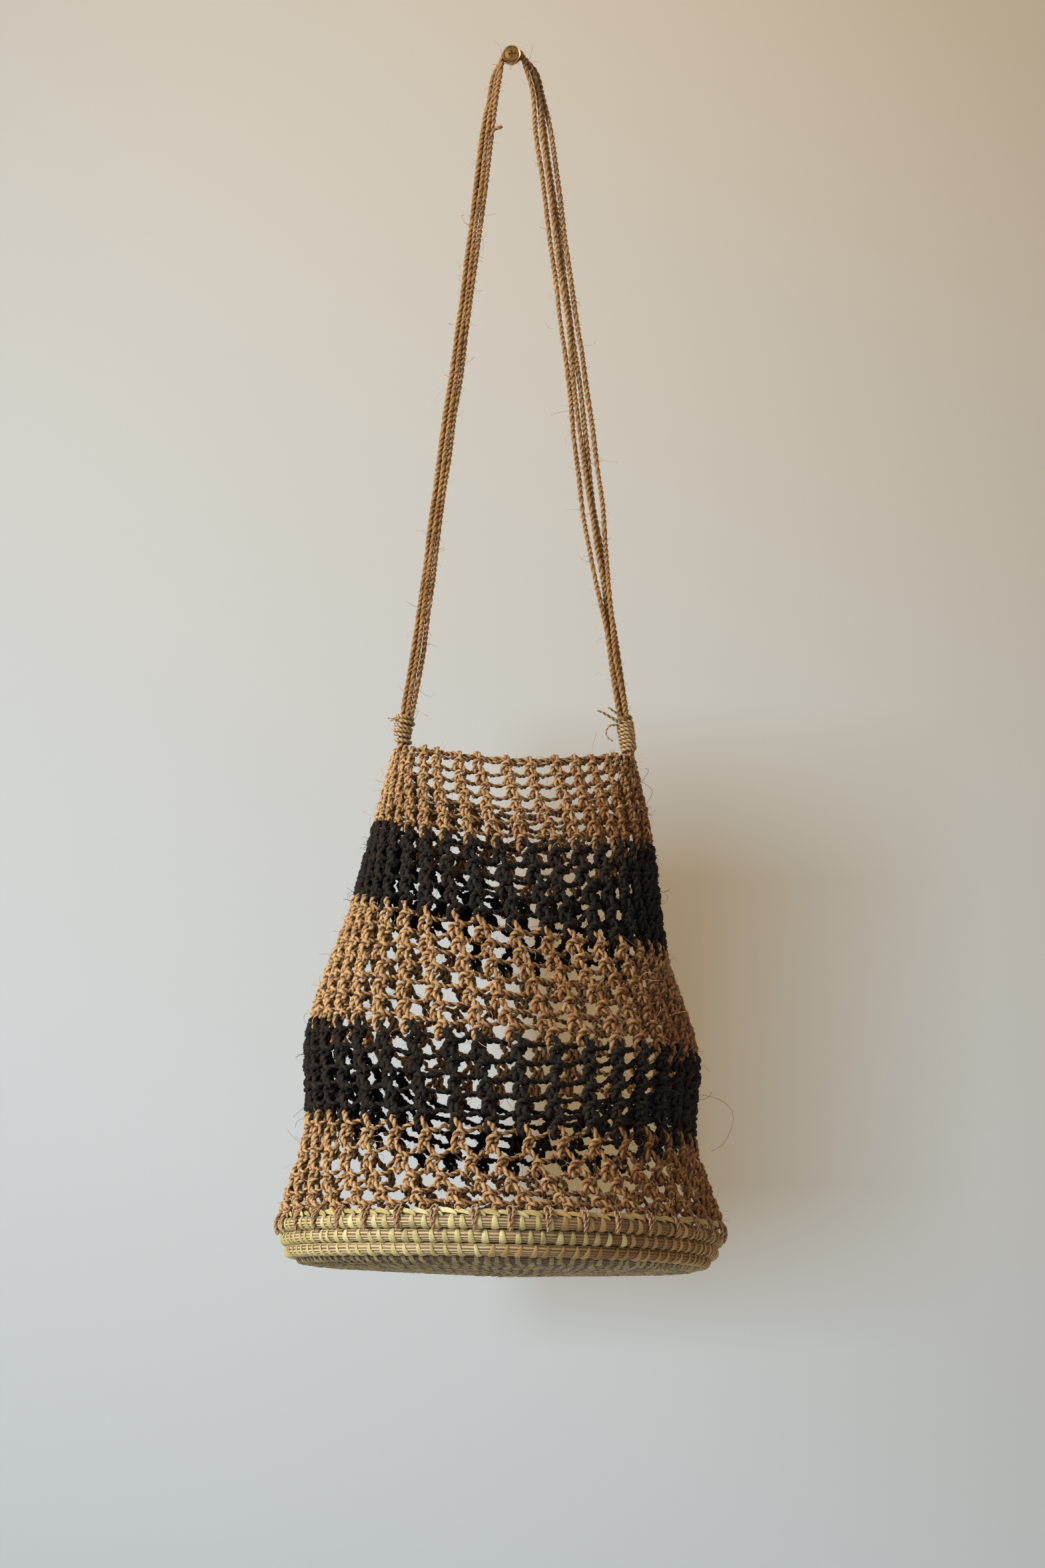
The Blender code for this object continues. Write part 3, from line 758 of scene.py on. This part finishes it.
def coil_middle(turn):
    """Radius and height of the coil's middle after some turns; whole turns are the measured ones."""
    i = min(max(int(turn), 0), len(TURNS) - 2)
    return TURNS[i].lerp(TURNS[i + 1], turn - i)


def coil_turns():
    """Places evenly far apart along the coil, in turns from its start."""
    turn, spots = 0.0, []
    while turn < len(TURNS) - 1.05:
        spots.append(turn)
        turn += COIL_STEP / (max(coil_middle(turn).x, COIL_INNERMOST) * math.tau)
    return spots


def eased_turn(turn):
    """The coil keeps level most of the way round and steps to the next level near its start."""
    share = turn - int(turn) - (1 - COIL_STEPS_DOWN)
    return int(turn) + eased(0.0, 1.0, max(0.0, share / COIL_STEPS_DOWN))


grass = Finish("dry_grass", Roughness=0.6)
around, along = grass.around_and_along()
sway = grass.noise(grass.vector(along, 0.0, 0.0), 30.0, 1.0)
stem_edge = 0.5 + 0.5 * ((around + sway * 0.05) * (STEMS * math.tau)).cosine()
turn = around * math.tau
streak = grass.noise(grass.on_tube(turn, 0.004, along * 0.03), 900.0, 2.0, 0.6)
# Browner towards +X: partly older grass, and partly painted shade of the side away from the light.
aged_and_shaded = grass.noise(grass.place(), 9.0, 2.0) * 0.08 + grass.split(grass.place())
warm = grass.mix(aged_and_shaded.clipped(0.02, 0.11), srgb(202, 180, 134), srgb(140, 96, 44))
floor = grass.mix(along.clipped(FLOOR_FROM, FLOOR_FROM + 0.2), warm, srgb(98, 78, 50))
# Painted shade: dark lines in the grooves between the stems, with the streaks' own darker fibres.
shade = ((1.0 - streak.clipped(0.30, 0.60)) * 0.45 + stem_edge ** 3 * 0.9).clipped(0.0, 1.0)
grass.wear("Base Color", grass.mix(shade, floor, srgb(84, 58, 30)))
grass.bump(streak * 0.5 - stem_edge * 0.8, 0.0007, 1.0)
spiral = []
for turn in coil_turns():
    spiral.append(on_base(COIL_START + turn * math.tau, *coil_middle(eased_turn(turn))))
coil_end = len(spiral) - 1
sizes = [min(1.0, 0.45 + i / 12, 0.5 + (coil_end - i) / 6) for i in range(coil_end + 1)]  # both ends taper
cord_piece(
    "grass_coil", "coiled_base", [spiral], COIL_RADIUS, 0.0, grass,
    outline=STEM_OUTLINE, fullness=sizes,
)


# ---- straw stitches ----
# Split straw wrapped over the coil and through the turn above, narrow where it comes out and flat and
# wide where it goes in again. It is bright on the wall of the tray, brown at the right, grey underneath.

STITCH_PITCH = 0.0078
FLOOR_PITCH = 0.0060
TURN_STEP = 0.45  # of a pitch, from the stitches of one turn to those of the next
STITCH_THICK = 0.0005
STITCH_REACH = math.radians(104)  # it covers this much of the coil above and below its widest place
STITCH_LIFT = 0.0003  # of its foot, which was cut flat
STITCH_CROWN = 0.0005  # height of its middle over its edges
STITCH_TUCK = 0.0010  # how far its ends go in, over the last tenth of it
WALL_STITCH = ((0.0, 0.0010), (0.22, 0.0022), (0.55, 0.0037), (1.0, 0.0044))  # share down it, and width
FLOOR_STITCH = ((0.0, 0.0036), (0.14, 0.0032), (0.30, 0.0026), (0.70, 0.0042), (1.0, 0.0048))
STITCH_STRAY = 0.18  # of a pitch, either way
STITCH_WIDTHS, STITCH_DEPTHS = (0.78, 1.15), (0.98, 1.06)  # the least and most, to the template's
FRESH_TO = (0.018, 0.070, -0.012)  # on each turn of the wall, the straw right of this x is brown
FRESH_STRAY = 0.004
FRESH_TONES, OLD_TONES = (0.55, 1.0), (0.0, 0.35)
TURN_LEANS = (0.10, 0.07, 0.30)  # on the wall, in radians
FLOOR_LEAN = 0.2
LEAN_STRAY = 0.07


def straw_mesh():
    """An empty mesh for straws, and the layer for their tones."""
    bm = bmesh.new()
    bm.loops.layers.uv.new("UVMap")
    return bm, bm.verts.layers.float.new("tone")


def thickened(bm, thickness):
    """Gives flat straws that face outwards their thickness."""
    bmesh.ops.solidify(bm, geom=bm.faces, thickness=thickness)
    bmesh.ops.recalc_face_normals(bm, faces=bm.faces)


def stitch_template(widths, rows):
    """One stitch round a coil whose middle is the origin: +X is out, +Z is up and Y runs along the coil."""
    bm = bmesh.new()
    bm.loops.layers.uv.new("UVMap")
    bmesh.ops.create_grid(bm, x_segments=2, y_segments=rows, size=0.5, calc_uvs=True)
    shares, sizes = zip(*widths)
    for vert in bm.verts:
        share = 0.5 - vert.co.y
        side = vert.co.x
        bend = STITCH_REACH * (1 - 2 * share)
        lift = COIL_RADIUS + STITCH_LIFT * share + (STITCH_CROWN if abs(side) < 0.1 else 0.0)
        lift -= STITCH_TUCK * max(0.0, abs(1 - 2 * share) - 0.80) / 0.20
        across = side * float(np.interp(share, shares, sizes))
        vert.co = Vector((math.cos(bend) * lift, across, math.sin(bend) * lift))
    bmesh.ops.recalc_face_normals(bm, faces=bm.faces)
    if sum(face.normal.x for face in bm.faces) < 0:
        bmesh.ops.reverse_faces(bm, faces=bm.faces)
    thickened(bm, STITCH_THICK)
    return mesh_from(bm, "stitch")


def coil_out(turn):
    """Direction, as radius and height, in which the coil shows at a turn: out from the tray."""
    i = min(int(turn), len(TURNS) - 1)
    way = (TURNS[min(i + 1, len(TURNS) - 1)] - TURNS[max(i - 1, 0)]).normalized()
    return Vector((-way.y, way.x))


def straw_finish(name, rough, dull, *tones):
    """Split straw: fine fibres along it, darker towards its ends, where it goes in. tones run from old straw
    to fresh.
    """
    finish = Finish(name, Roughness=rough, Specular_IOR_Level=0.35)
    where = {"attribute_name": "tone", "attribute_type": "GEOMETRY"}
    tone = finish.node("ShaderNodeAttribute", where, output="Fac")
    body = finish.node("ShaderNodeValToRGB", {"stops": tones}, {"Fac": tone})
    side, down = finish.around_and_along()
    grain = finish.noise(finish.vector(side * 0.004, down * 0.0012, tone * 3.0), 1500.0, 2.0)
    stain = finish.noise(finish.place(), 75.0, 3.0)
    ends = ((down - 0.5) * 2.0) ** 4
    shade = stain.clipped(0.50, 0.75) * 0.5 + ends * 0.5 + (1.0 - grain.clipped(0.3, 0.6)) * 0.35
    finish.wear("Base Color", finish.mix(shade.clipped(0.0, 1.0), body, dull))
    finish.bump(grain, 0.00025, 0.8)
    return finish


def straw_piece(name, bm, finish):
    """The straws in the mesh as a piece, which stands for part of the base."""
    mesh = mesh_from(bm, name)
    mesh.shade_smooth()
    mesh.set_sharp_from_angle(angle=math.radians(50))
    piece_of(name, mesh, finish, "coiled_base")


def stitched(name, turns, pitch, widths, rows, finish, dice):
    """Stitches along whole turns of the coil."""
    template = stitch_template(widths, rows)
    bm, tone = straw_mesh()
    hung = HANGING.to_3x3()
    for turn in turns:
        count = max(5, round(math.tau * TURNS[turn].x / pitch))
        for i in range(count):
            share = (i + turn * TURN_STEP % 1 + dice.uniform(-STITCH_STRAY, STITCH_STRAY)) / count
            middle = coil_middle(eased_turn(turn + share))
            angle = COIL_START + (turn + share) * math.tau
            out = coil_out(turn + share)
            outwards = hung @ Vector((math.sin(angle) * out.x, -math.cos(angle) * out.x, out.y))
            forwards = hung @ Vector((math.cos(angle), math.sin(angle), 0.0))
            turned = Matrix((outwards, forwards, outwards.cross(forwards))).transposed()
            spot = on_base(angle, *middle)
            on_wall = turn < len(FRESH_TO)
            old = on_wall and spot.x > FRESH_TO[turn] + dice.gauss(0, FRESH_STRAY)
            lean = (TURN_LEANS[turn] if on_wall else FLOOR_LEAN) * (-1 if old and turn == 2 else 1)
            turned = turned @ Matrix.Rotation(lean + dice.gauss(0, LEAN_STRAY), 3, "X")
            stretch = (dice.uniform(*STITCH_DEPTHS), dice.uniform(*STITCH_WIDTHS), 1.0)
            turned = turned @ Matrix.Diagonal(stretch)
            first = len(bm.verts)
            bm.from_mesh(template)
            bm.verts.ensure_lookup_table()
            fresh = bm.verts[first:]
            bmesh.ops.transform(bm, matrix=Matrix.Translation(spot) @ turned.to_4x4(), verts=fresh)
            shade = dice.uniform(*(OLD_TONES if old else FRESH_TONES))
            for vert in fresh:
                vert[tone] = shade
    bpy.data.meshes.remove(template)
    straw_piece(name, bm, finish)


bright_straw = straw_finish(
    "bright_straw", 0.5, srgb(106, 86, 46),
    (0.0, srgb(140, 110, 62)), (0.35, srgb(176, 144, 86)), (0.6, srgb(172, 157, 98)),
    (1.0, srgb(205, 194, 136)),
)
worn_straw = straw_finish(
    "worn_straw", 0.7, srgb(66, 50, 30),
    (0.0, srgb(96, 76, 48)), (0.6, srgb(132, 112, 74)), (1.0, srgb(168, 150, 106)),
)
dice = random.Random(23)
stitched("straw_stitches_wall", range(0, 3), STITCH_PITCH, WALL_STITCH, 8, bright_straw, dice)
stitched("straw_stitches_floor", range(3, len(TURNS) - 1), FLOOR_PITCH, FLOOR_STITCH, 5, worn_straw, dice)


# ---- edge braid ----
# Straw laid along the tray's top edge. Each straw runs along it for a stitch and a half, lies over the
# end of the one before, and turns down into the first row of stitches.

BRAID_CORE = 0.0013
BRAID_THICK = 0.0004
BRAID_STRAW = (  # share along it, in pitches from its stitch, out and up in mm, and width in mm
    (0.0, -1.60, 0.8, -0.6, 1.3), (0.2, -1.25, 1.5, 0.1, 2.2), (0.5, -0.76, 2.3, 0.2, 2.8),
    (0.8, -0.26, 3.0, -0.6, 2.4), (1.0, 0.04, 3.5, -2.2, 1.6),
)
BRAID_MIDDLE = -0.0013
BRAID_CROWN = 0.25  # height of a straw's middle over its edges, in mm
BRAID_WIDTHS = (0.8, 1.15)
BRAID_STRAY = 0.25  # up or down, in mm
BRAID_TONES = (0.5, 1.0)
BRAID_OLD = 0.35  # of its tone, where it is brown
BRAID_COUNT = round(math.tau * BASE_RADIUS / STITCH_PITCH)
CORE_LAY = 0.0125
CORE_RADIUS = BASE_RADIUS - 0.0002
CORE_POINTS = 240

core_route = [
    on_base(i / CORE_POINTS * math.tau, CORE_RADIUS, BRAID_MIDDLE) for i in range(CORE_POINTS + 1)
]
cord_piece("edge_core", "coiled_base", [core_route], BRAID_CORE, CORE_LAY, grass)
shares, pitches, outs, ups, widths = np.array(BRAID_STRAW).T
bm, tone = straw_mesh()
for face in (1, -1):
    for i in range(BRAID_COUNT):
        first = len(bm.verts)
        bmesh.ops.create_grid(bm, x_segments=2, y_segments=6, size=0.5, calc_uvs=True)
        bm.verts.ensure_lookup_table()
        wide, rise = dice.uniform(*BRAID_WIDTHS), dice.gauss(0, BRAID_STRAY)
        shade = dice.uniform(*BRAID_TONES)
        for vert in bm.verts[first:]:
            share, side = vert.co.y + 0.5, vert.co.x
            angle = (i + float(np.interp(share, shares, pitches))) / BRAID_COUNT * math.tau
            out = float(np.interp(share, shares, outs)) + (BRAID_CROWN if abs(side) < 0.1 else 0.0)
            up = float(np.interp(share, shares, ups)) + rise
            up -= side * float(np.interp(share, shares, widths)) * wide
            vert.co = on_base(angle, BASE_RADIUS + face * out / 1000, BRAID_MIDDLE + up / 1000)
            vert[tone] = shade * (BRAID_OLD if vert.co.x > FRESH_TO[0] else 1.0)
bmesh.ops.recalc_face_normals(bm, faces=bm.faces)
thickened(bm, BRAID_THICK)
straw_piece("edge_braid", bm, bright_straw)


# ---- rim cord, corner ties and base loops ----
# A foundation cord runs through the first loops, four short cords tie each corner to its lashing, and
# the last row is fastened down by loops of the same cord over the tray's top turn.

RIM_DOWN = -0.08  # in rows
RIM_SWAY = 0.05
RIM_IN = -0.0006
RIM_CORD = 0.0017  # radius
RIM_POINTS = 240
TIE_CORD = 0.0015
TIE_POINTS = 16
TIE_SPREAD = 0.16  # radians round the net from one tie's foot to the next
TIE_DOWN = 0.9  # rows from the rim to a tie's foot
TIE_OUT = 0.0003
TIE_STRAY = 0.2  # rows
TIE_WAIST = 0.45  # share of the way from the lashing to the foot, where they are still drawn together
CORNER_TIES = 4
CORE_OFFSET = 0.0018  # inside the lashing they stand this far from its axis
CORE_RISE = -0.0060  # from its top, among the ends of the handle's cords
POSTS = 40
POST_CORD = 0.0010
POST_LAY = 0.0066
POST_BEHIND = -0.0016  # no loop's middle is nearer the wall
POST = (  # across in mm, and out and up in mm from the top turn's middle
    (0.2, 3.0, -4.9), (-0.3, 4.3, -2.8), (-0.6, 4.8, -0.4), (-0.9, 4.7, 1.8), (-1.2, 4.4, 3.8),
    (-1.5, 3.4, 5.6), (-1.6, 1.4, 7.2), (-0.9, -0.2, 8.2), (0.7, 0.0, 8.6), (1.5, 1.4, 7.4), (1.5, 3.4, 5.7),
    (1.1, 4.5, 3.8), (0.8, 4.7, 1.8), (0.5, 4.8, -0.4), (0.2, 4.2, -2.9), (0.0, 3.0, -5.0),
)

rim_angles = np.linspace(0.0, math.tau, RIM_POINTS, endpoint=False)
rim_rows = RIM_DOWN + RIM_SWAY * np.sin((rim_angles - NET_PHASE) * COLUMNS)
rim_route = net_places(rim_angles, rim_rows, np.zeros(RIM_POINTS), np.full(RIM_POINTS, RIM_IN))
rim_route = np.concatenate((rim_route, rim_route[:2]))
cord_piece("rim_cord", "net_tan_top", [rim_route], RIM_CORD, NET_LAY, tan_fibre)

dice = random.Random(31)
ties = []
for side, lashing in LASHINGS.items():
    toward = -1 if side == "left" else 1
    for i in range(CORNER_TIES):
        spread = (i - (CORNER_TIES - 1) / 2) * TIE_SPREAD
        foot = Vector(net_places(
            np.array([toward * math.pi / 2 + spread]),
            np.array([TIE_DOWN + dice.uniform(-TIE_STRAY, TIE_STRAY)]), np.zeros(1), np.array([TIE_OUT]),
        )[0])
        round_it = Matrix.Rotation(i * math.tau / CORNER_TIES, 4, "Z") @ Vector((CORE_OFFSET, 0.0, 0.0))
        inside = upright_on(Vector((0, 0, 0)), lashing["top"] - lashing["bottom"]) @ round_it
        start = lashing["top"] + inside + Vector((0.0, 0.0, CORE_RISE))
        neck = lashing["bottom"] + inside
        waist = lashing["bottom"].lerp(foot, TIE_WAIST) + Vector((toward * 0.001, -0.001, 0.0))
        ties.append(smooth_route([start, neck, waist, foot], TIE_POINTS))
pink_fibre = fibre_finish(
    "worn_tan_fibre", srgb(204, 164, 124), srgb(124, 86, 58), srgb(176, 134, 98), POST_LAY
)
cord_piece("corner_ties", "net_tan_top", ties, TIE_CORD, NET_LAY, pink_fibre)

loops = []
for i in range(POSTS):
    angle = NET_PHASE + leaning(ROWS) + i * math.tau / POSTS + dice.gauss(0, 0.004)
    slip = dice.gauss(0, 0.5)
    loop = []
    for across, out, up in POST:
        lag = (across + slip * 0.5) / 1000 / BASE_RADIUS
        spot = on_base(angle + lag, TURNS[0].x + out / 1000, TURNS[0].y + up / 1000)
        spot.y = min(spot.y, POST_BEHIND)
        loop.append(spot)
    loops.append(loop)
cord_piece("base_loops", "net_tan_lower", loops, POST_CORD, POST_LAY, pink_fibre)


# ---- screw and cup washer ----
# A cross-head screw of yellow zinc plated steel, driven into the wall through a turned cup washer that
# its head sits in. The handle hangs on the bare shank between the washer and the wall.

plating = Finish("zinc_plating", Metallic=1.0, Roughness=0.32)
place = plating.place()
smear = plating.noise(place, 420.0, 3.0)
plating.wear("Base Color", plating.mix(smear.clipped(0.35, 0.65), srgb(196, 150, 86), srgb(150, 104, 62)))
plating.wear("Roughness", smear * 0.35 + 0.18)
plating.bump(plating.noise(place, 2600.0, 2.0), 0.00008, 0.4)
for node in ("screw", "cup_washer"):
    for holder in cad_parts[node].material_slots:
        holder.material = plating.material


# ---- loose fibres ----
# Hairs that the rough cord sheds. Most are short and stand off the cord, some are long and curl, and a
# few of the longest hang free of the net.

HAIR = 0.0001  # radius
LONG_HAIR = 0.00015
LONG_POINTS = 14
LONG_HAIRS = {  # by their cord's colour, in mm
    "tan": (
        ((108.0, -118.0, -681.0), (116.2, -120.0, -679.7), (130.6, -120.0, -683.4), (138.1, -120.0, -693.4),
         (132.7, -121.0, -708.7), (124.0, -121.0, -714.9)),
        ((77.0, -62.0, -493.0), (81.3, -60.0, -488.9), (88.7, -60.0, -479.4), (86.5, -61.0, -477.0)),
        ((76.0, -64.0, -483.5), (81.8, -60.0, -484.6), (91.3, -60.0, -491.9), (85.2, -62.0, -502.7)),
        ((11.0, -81.0, -477.0), (13.0, -82.0, -474.5), (17.7, -83.0, -469.4), (24.9, -83.0, -473.2)),
        ((24.0, -81.0, -474.0), (26.6, -82.0, -469.4), (33.9, -83.0, -471.9), (43.2, -81.0, -473.2)),
        ((-31.8, -30.0, -111.2), (-33.5, -33.0, -113.0), (-30.0, -34.0, -117.8), (-27.3, -32.0, -117.4)),
        ((-26.2, -24.0, -119.0), (-20.0, -26.0, -122.5), (-17.6, -26.0, -120.0), (-20.5, -25.0, -117.0)),
        ((-10.5, -10.0, -11.0), (-13.8, -13.0, -9.5), (-13.4, -14.0, -6.0), (-10.0, -12.0, -6.2)),
        ((10.5, -9.0, -3.0), (12.5, -11.0, 0.8), (14.2, -12.0, 7.5)),
        ((79.0, -64.0, -468.8), (82.2, -65.0, -470.3), (84.3, -65.0, -469.7), (83.8, -65.0, -468.0),
         (82.0, -65.0, -468.6), (80.0, -64.0, -470.6)),
    ),
    "black": (
        ((86.0, -82.0, -552.0), (92.4, -84.0, -554.4), (97.0, -85.0, -556.0), (100.5, -85.0, -554.4)),
        ((-93.0, -88.0, -559.0), (-100.0, -90.0, -561.0), (-106.5, -91.0, -560.0)),
    ),
}
FUZZ = (  # how many on the net and on the handle, shortest, longest, segments, and how much they curl
    (3900, 1200, 0.0018, 0.0050, 2, 0.5),
    (1650, 210, 0.0060, 0.0180, 6, 0.75),
)
WALL = -0.0006  # no hair goes through the wall that the bag hangs on


def hair(start, way, length, segments, curl, dice):
    """A hair's points: it sets off one way and bends steadily to another."""
    axis = Vector([dice.gauss(0, 1) for _ in range(3)]).normalized()
    bend = Matrix.Rotation(dice.uniform(0.2, 1.0) * curl, 3, axis)
    points = [Vector(start)]
    for _ in range(segments):
        points.append(points[-1] + way * (length / segments))
        way = bend @ way
    return points


def hairs_off(routes, radius, count, shortest, longest, segments, curl, dice):
    """Hairs that start on cords along the routes, lean along them and stand off."""
    made = []
    for _ in range(count):
        route = dice.choice(routes)
        i = dice.randrange(1, len(route) - 1)
        along = (Vector(route[i + 1]) - Vector(route[i - 1])).normalized()
        off = Vector([dice.gauss(0, 1) for _ in range(3)])
        off = (off - along * off.dot(along)).normalized()
        way = (off + along * dice.uniform(-1.2, 1.2)).normalized()
        length = shortest + (longest - shortest) * dice.random() ** 2
        made.append(hair(Vector(route[i]) + off * radius * 0.7, way, length, segments, curl, dice))
    return made


def hair_piece(name, groups, finish):
    """One piece of hairs, from groups of them with a radius each. A hair is a thin, closed strand."""
    data = bpy.data.curves.new(name, "CURVE")
    data.dimensions = "3D"
    data.bevel_depth = 1.0
    data.bevel_resolution = 0
    data.use_fill_caps = True
    for radius, hairs in groups:
        for points in hairs:
            line_in(data, points).points.foreach_set("radius", [radius] * len(points))
    mesh = as_mesh(data)
    bm = bmesh.new()
    bm.from_mesh(mesh)
    bmesh.ops.remove_doubles(bm, verts=bm.verts, dist=WELD)
    bmesh.ops.recalc_face_normals(bm, faces=bm.faces)
    bm.to_mesh(mesh)
    bm.free()
    piece_of(name, mesh, finish)


def hair_finish(name, pale, deep):
    finish = Finish(name, Roughness=0.7)
    tone = finish.noise(finish.place(), 60.0, 1.0)
    finish.wear("Base Color", finish.mix(tone.clipped(0.35, 0.65), pale, deep))
    return finish


tan_hair = hair_finish("tan_hair", srgb(222, 184, 132), srgb(150, 98, 52))
black_hair = hair_finish("black_hair", srgb(58, 50, 42), srgb(20, 17, 15))
dice = random.Random(41)
for colour, finish, slot in (("tan", tan_hair, "net_cord"), ("black", black_hair, "dyed_cord")):
    long_hairs = [smooth_route(from_mm(points), LONG_POINTS) for points in LONG_HAIRS[colour]]
    groups = [(LONG_HAIR, long_hairs)]
    for on_net, on_handle, shortest, longest, segments, curl in FUZZ:
        shape = (shortest, longest, segments, curl, dice)
        fuzz = []
        for (first, end, solid, radius, *_), route in zip(BANDS, net_routes):
            if colour in solid:
                fuzz += hairs_off([route], radius, int(on_net * (end - first) / ROWS), *shape)
        if colour == "tan":
            fuzz += hairs_off(handle_routes, STRANDS[0][0] / 2, on_handle, *shape)
        groups.append((HAIR, [points for points in fuzz if max(point.y for point in points) < WALL]))
    hair_piece(f"loose_hairs_{colour}", groups, finish)


# ---- stage ----
# A pale floor and backdrop, well clear of the object, and soft light from the upper left. The backdrop's
# colour holds a painted shadow of a bag on the wall behind it, and both carry painted light: cooler and
# brighter to the lower left, warmer and darker to the upper right.

FLOOR_HEIGHT = -1.90
BACKDROP = 2.4
SHADOWS = (  # of the bag on the backdrop: where it sets in and ends in x and in z, and how deep it is
    (-0.06, 0.06, 0.32, 0.84, -1.50, -1.20, -0.66, -0.34, 0.72),
    (-0.02, 0.05, 0.20, 0.34, -1.30, -1.20, -0.86, -0.60, 0.60),
)


def stage_plane(name, *corners):
    bm = bmesh.new()
    bm.faces.new([bm.verts.new(corner) for corner in corners])
    mesh = mesh_from(bm, name)
    mesh.materials.append(plaster.material)
    in_scene(mesh)


plaster = Finish("plaster", Roughness=0.9)
spot = plaster.split(plaster.place())
height = spot.also("Z")
# Painted light: cooler and brighter to the lower left, warmer and darker to the upper right.
painted_light_slope = (spot * 0.22 + height * 0.34 + 0.52).clipped(0.0, 1.0)
wall = plaster.mix(painted_light_slope, srgb(201, 206, 206), srgb(176, 160, 136))
for left, dim, dim_to, right, low, dim_from, dim_up, high, depth in SHADOWS:
    across_it = spot.clipped(left, dim) * (1.0 - spot.clipped(dim_to, right))
    up_it = height.clipped(low, dim_from) * (1.0 - height.clipped(dim_up, high))
    wall = plaster.mix(across_it * up_it * depth, wall, srgb(140, 110, 52))
plaster.wear("Base Color", wall)
stage_plane("backdrop", (-6, BACKDROP, -3), (6, BACKDROP, -3), (6, BACKDROP, 4), (-6, BACKDROP, 4))
stage_plane(
    "floor", (-6, -5, FLOOR_HEIGHT), (6, -5, FLOOR_HEIGHT), (6, BACKDROP, FLOOR_HEIGHT),
    (-6, BACKDROP, FLOOR_HEIGHT),
)


def soft_light(name, place, towards, size, power, colour):
    data = bpy.data.lights.new(name, "AREA")
    data.shape = "DISK"
    data.size = size
    data.energy = power
    data.color = colour
    lamp = in_scene(data)
    lamp.location = place
    lamp.rotation_euler = (Vector(towards) - Vector(place)).to_track_quat("-Z", "Y").to_euler()


BAG_MIDDLE = (0.0, -0.12, -0.55)
soft_light("window_light", (-2.3, -1.5, 0.6), BAG_MIDDLE, 1.2, 138.0, (1.0, 0.98, 0.95))
soft_light("warm_bounce", (2.0, -1.4, -0.5), BAG_MIDDLE, 1.5, 11.0, (1.0, 0.72, 0.45))
soft_light("wall_light", (0.0, 0.9, 1.2), (0.0, BACKDROP, -0.5), 2.0, 16.0, (1.0, 0.98, 0.95))
world = bpy.data.worlds.new("room")
world.use_nodes = True
sky = world.node_tree.nodes["Background"].inputs
sky["Color"].default_value = (0.86, 0.90, 1.0, 1.0)
sky["Strength"].default_value = 0.42
bpy.context.scene.world = world
